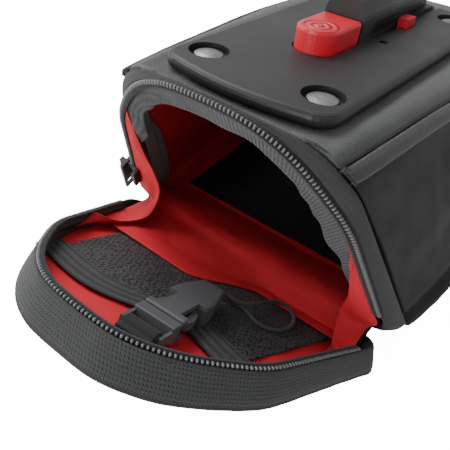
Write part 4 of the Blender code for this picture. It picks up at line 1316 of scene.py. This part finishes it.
def gussetEdge(facts):
    # the sewn edge: down the mouth's side, round the corner and up the flap's side
    spots = []
    side, count = facts["side"], gussetGrid["spots"]
    for k in range(count + 1):
        arc = mouth["sideStart"] + facts["mouthReach"] * mm * (1 - k / count)
        spots.append(mouthPoint(side * arc, 2.7 * mm, 0.7 * mm))
    spots.append(Vector((side * 49.5 * mm, form["hingeY"] - 1 * mm, 14.5 * mm)))
    for k in range(1, count + 1):
        arc = mouth["sideStart"] + facts["flapReach"] * mm * k / count
        spots.append(flapRim(side * arc, 3.6 * mm, 3.4 * mm))
    return through(spots, gussetGrid["along"])


def makeGusset(word):
    facts = gusset[word]
    sewn = gussetEdge(facts)
    free = through([Vector(p) * mm for p in facts["free"]], gussetGrid["along"])
    rows = []
    for r in range(gussetGrid["across"] + 1):
        t = r / gussetGrid["across"]
        row = []
        for a, b in zip(sewn, free):
            p = a.lerp(b, t)
            fold = sin(pi * t) * (1.5 * rumple(p, 8, 5.5 * facts["side"], (1, 1, 2.2))
                                  + 0.6 * rumple(p, 4, 2.0, (1, 1, 1.6)))
            row.append(p + Vector((fold * mm, fold * 0.6 * mm, -sin(pi * t) * 1.2 * mm)))
        rows.append(row)
    made = gridMesh("gusset" + word, rows, finishes["redLining"])
    thicken(made, gussetGrid["cloth"], 0.0)
    applied(made)
    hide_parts("gusset_" + word.lower())
    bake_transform(made)


hinge = {
    "columns": 96, "steps": 48, "half": 49.0, "cloth": 0.5 * mm,
    # the red cloth's middle line: across, behind the hinge and above the ground
    "inside": ((0, 24.0, 4.2), (0, 16.0, 8.4), (0, 9.0, 12.4), (0, 4.0, 14.6), (0, 0.0, 14.8),
               (0, -3.4, 13.2)),
    "onFlap": (0.45, 0.75, 1.0), "reach": 10, "leftReach": 18,       # how far it lies up the flap's floor
    "strip": ((6.0, 8.6), (3.0, 9.6), (0.5, 10.2), (-2.0, 10.2), (-4.0, 8.6), (-5.4, 6.2)),
    "stripColumns": 80, "stripHalf": 50.0, "stripCloth": 0.8 * mm,
}


def hingeColumn(share):
    x = share * hinge["half"]
    reach = hinge["reach"] + hinge["leftReach"] * smoothstep(16, -8, x)
    floor = []
    for v in hinge["onFlap"]:
        p = flapPoint(0, v * reach * mm, floorDepth - (2.3 - 0.4 * v) * mm)
        floor.append((0, (p.y - form["hingeY"]) / mm, p.z / mm))
    column = []
    for k, p in enumerate(through(hinge["inside"] + tuple(floor), hinge["steps"])):
        spot = Vector((x, p.y, 0)) * mm
        loose = sin(pi * k / hinge["steps"])
        wave = 1.0 * rumple(spot, 10, 6.6, (2.0, 1, 1)) + 0.4 * abs(rumple(spot, 4, 2.3, (3.0, 1, 1)))
        lift = (1.6 * share * share + wave) * loose
        half = x * (1 - 0.006 * abs(p.y))
        column.append(Vector((half * mm, form["hingeY"] + p.y * mm, (p.z + lift) * mm)))
    return column


def makeHingeCloth():
    columns = [hingeColumn(share) for share in spreadOver(-1, 1, hinge["columns"])]
    rows = [list(row) for row in zip(*columns)]
    made = gridMesh("hingeCloth", rows, finishes["redLining"])
    thicken(made, hinge["cloth"], 0.0)
    applied(made)
    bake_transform(made)


def makeHingeStrip():
    places = spreadOver(-hinge["stripHalf"], hinge["stripHalf"], hinge["stripColumns"])
    rows = [[Vector((x * mm, form["hingeY"] + y * mm, z * mm)) for x in places] for y, z in hinge["strip"]]
    strip = gridMesh("hingeStrip", rows, finishes["collarCloth"], flip=True)
    thicken(strip, hinge["stripCloth"], 0.0)
    applied(strip)
    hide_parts("hinge_strip")
    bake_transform(strip)


for word in gusset:
    makeGusset(word)
makeHingeCloth()
makeHingeStrip()
print("gussets and hinge ready")


# webbing through the buckle's bar
webbing = {"bar": (13.2, 73.5), "tip": (9.4, 36.5), "round": 1.9, "wrap": 160, "half": 4.9, "steps": 24,
           "tail": ((-4.2, 0.5), (-3.0, 0.6)), "cloth": 0.9 * mm}


def buckleFrame():
    bar, tip = Vector(webbing["bar"]), Vector(webbing["tip"])
    alongUv = (tip - bar).normalized()
    origin = flapPoint(bar.x * mm, bar.y * mm, buckleDepth)
    along = flapPoint(bar.x * mm + alongUv.x, bar.y * mm + alongUv.y, buckleDepth) - origin
    up = flapPoint(bar.x * mm, bar.y * mm, buckleDepth - 1) - origin
    turn = Matrix((along.cross(up), along, up)).transposed().to_4x4()
    return Matrix.Translation(origin) @ turn


def makeWebbing():
    inFrame = buckleFrame()
    steps = webbing["steps"]
    outline = [(y, -z) for y, z in webbing["tail"]]
    for turn in spreadOver(radians(-webbing["wrap"]), radians(webbing["wrap"]), steps):
        outline.append((cos(turn) * webbing["round"], sin(turn) * webbing["round"]))
    outline += reversed(webbing["tail"])
    across = spreadOver(-webbing["half"], webbing["half"], steps)
    rows = [[inFrame @ (Vector((x, y, z)) * mm) for x in across] for y, z in outline]
    made = gridMesh("keyWebbing", rows, finishes["webbing"])
    thicken(made, webbing["cloth"], 0.0)
    settle(made, "flap", "black_webbing", "key_webbing")


makeWebbing()


# hard parts keep their CAD shape and get their finish
hardParts = {
    "greyPlastic": ("adapter_plate",),
    "bucklePlastic": ("buckle_male", "buckle_female", "buckle_prong_left", "buckle_prong_right"),
    "buttonPlastic": ("release_button",),
    "redPlastic": ("release_latch",),
    "sliderPaint": ("zip_slider", "zip_pull"),
    "satinMetal": ("rivet_front_left", "rivet_front_right", "rivet_rear_left", "rivet_rear_right"),
}
for finish, names in hardParts.items():
    for name in names:
        for slot in nodes[name].material_slots:
            slot.material = finishes[finish]
print("hard parts ready")
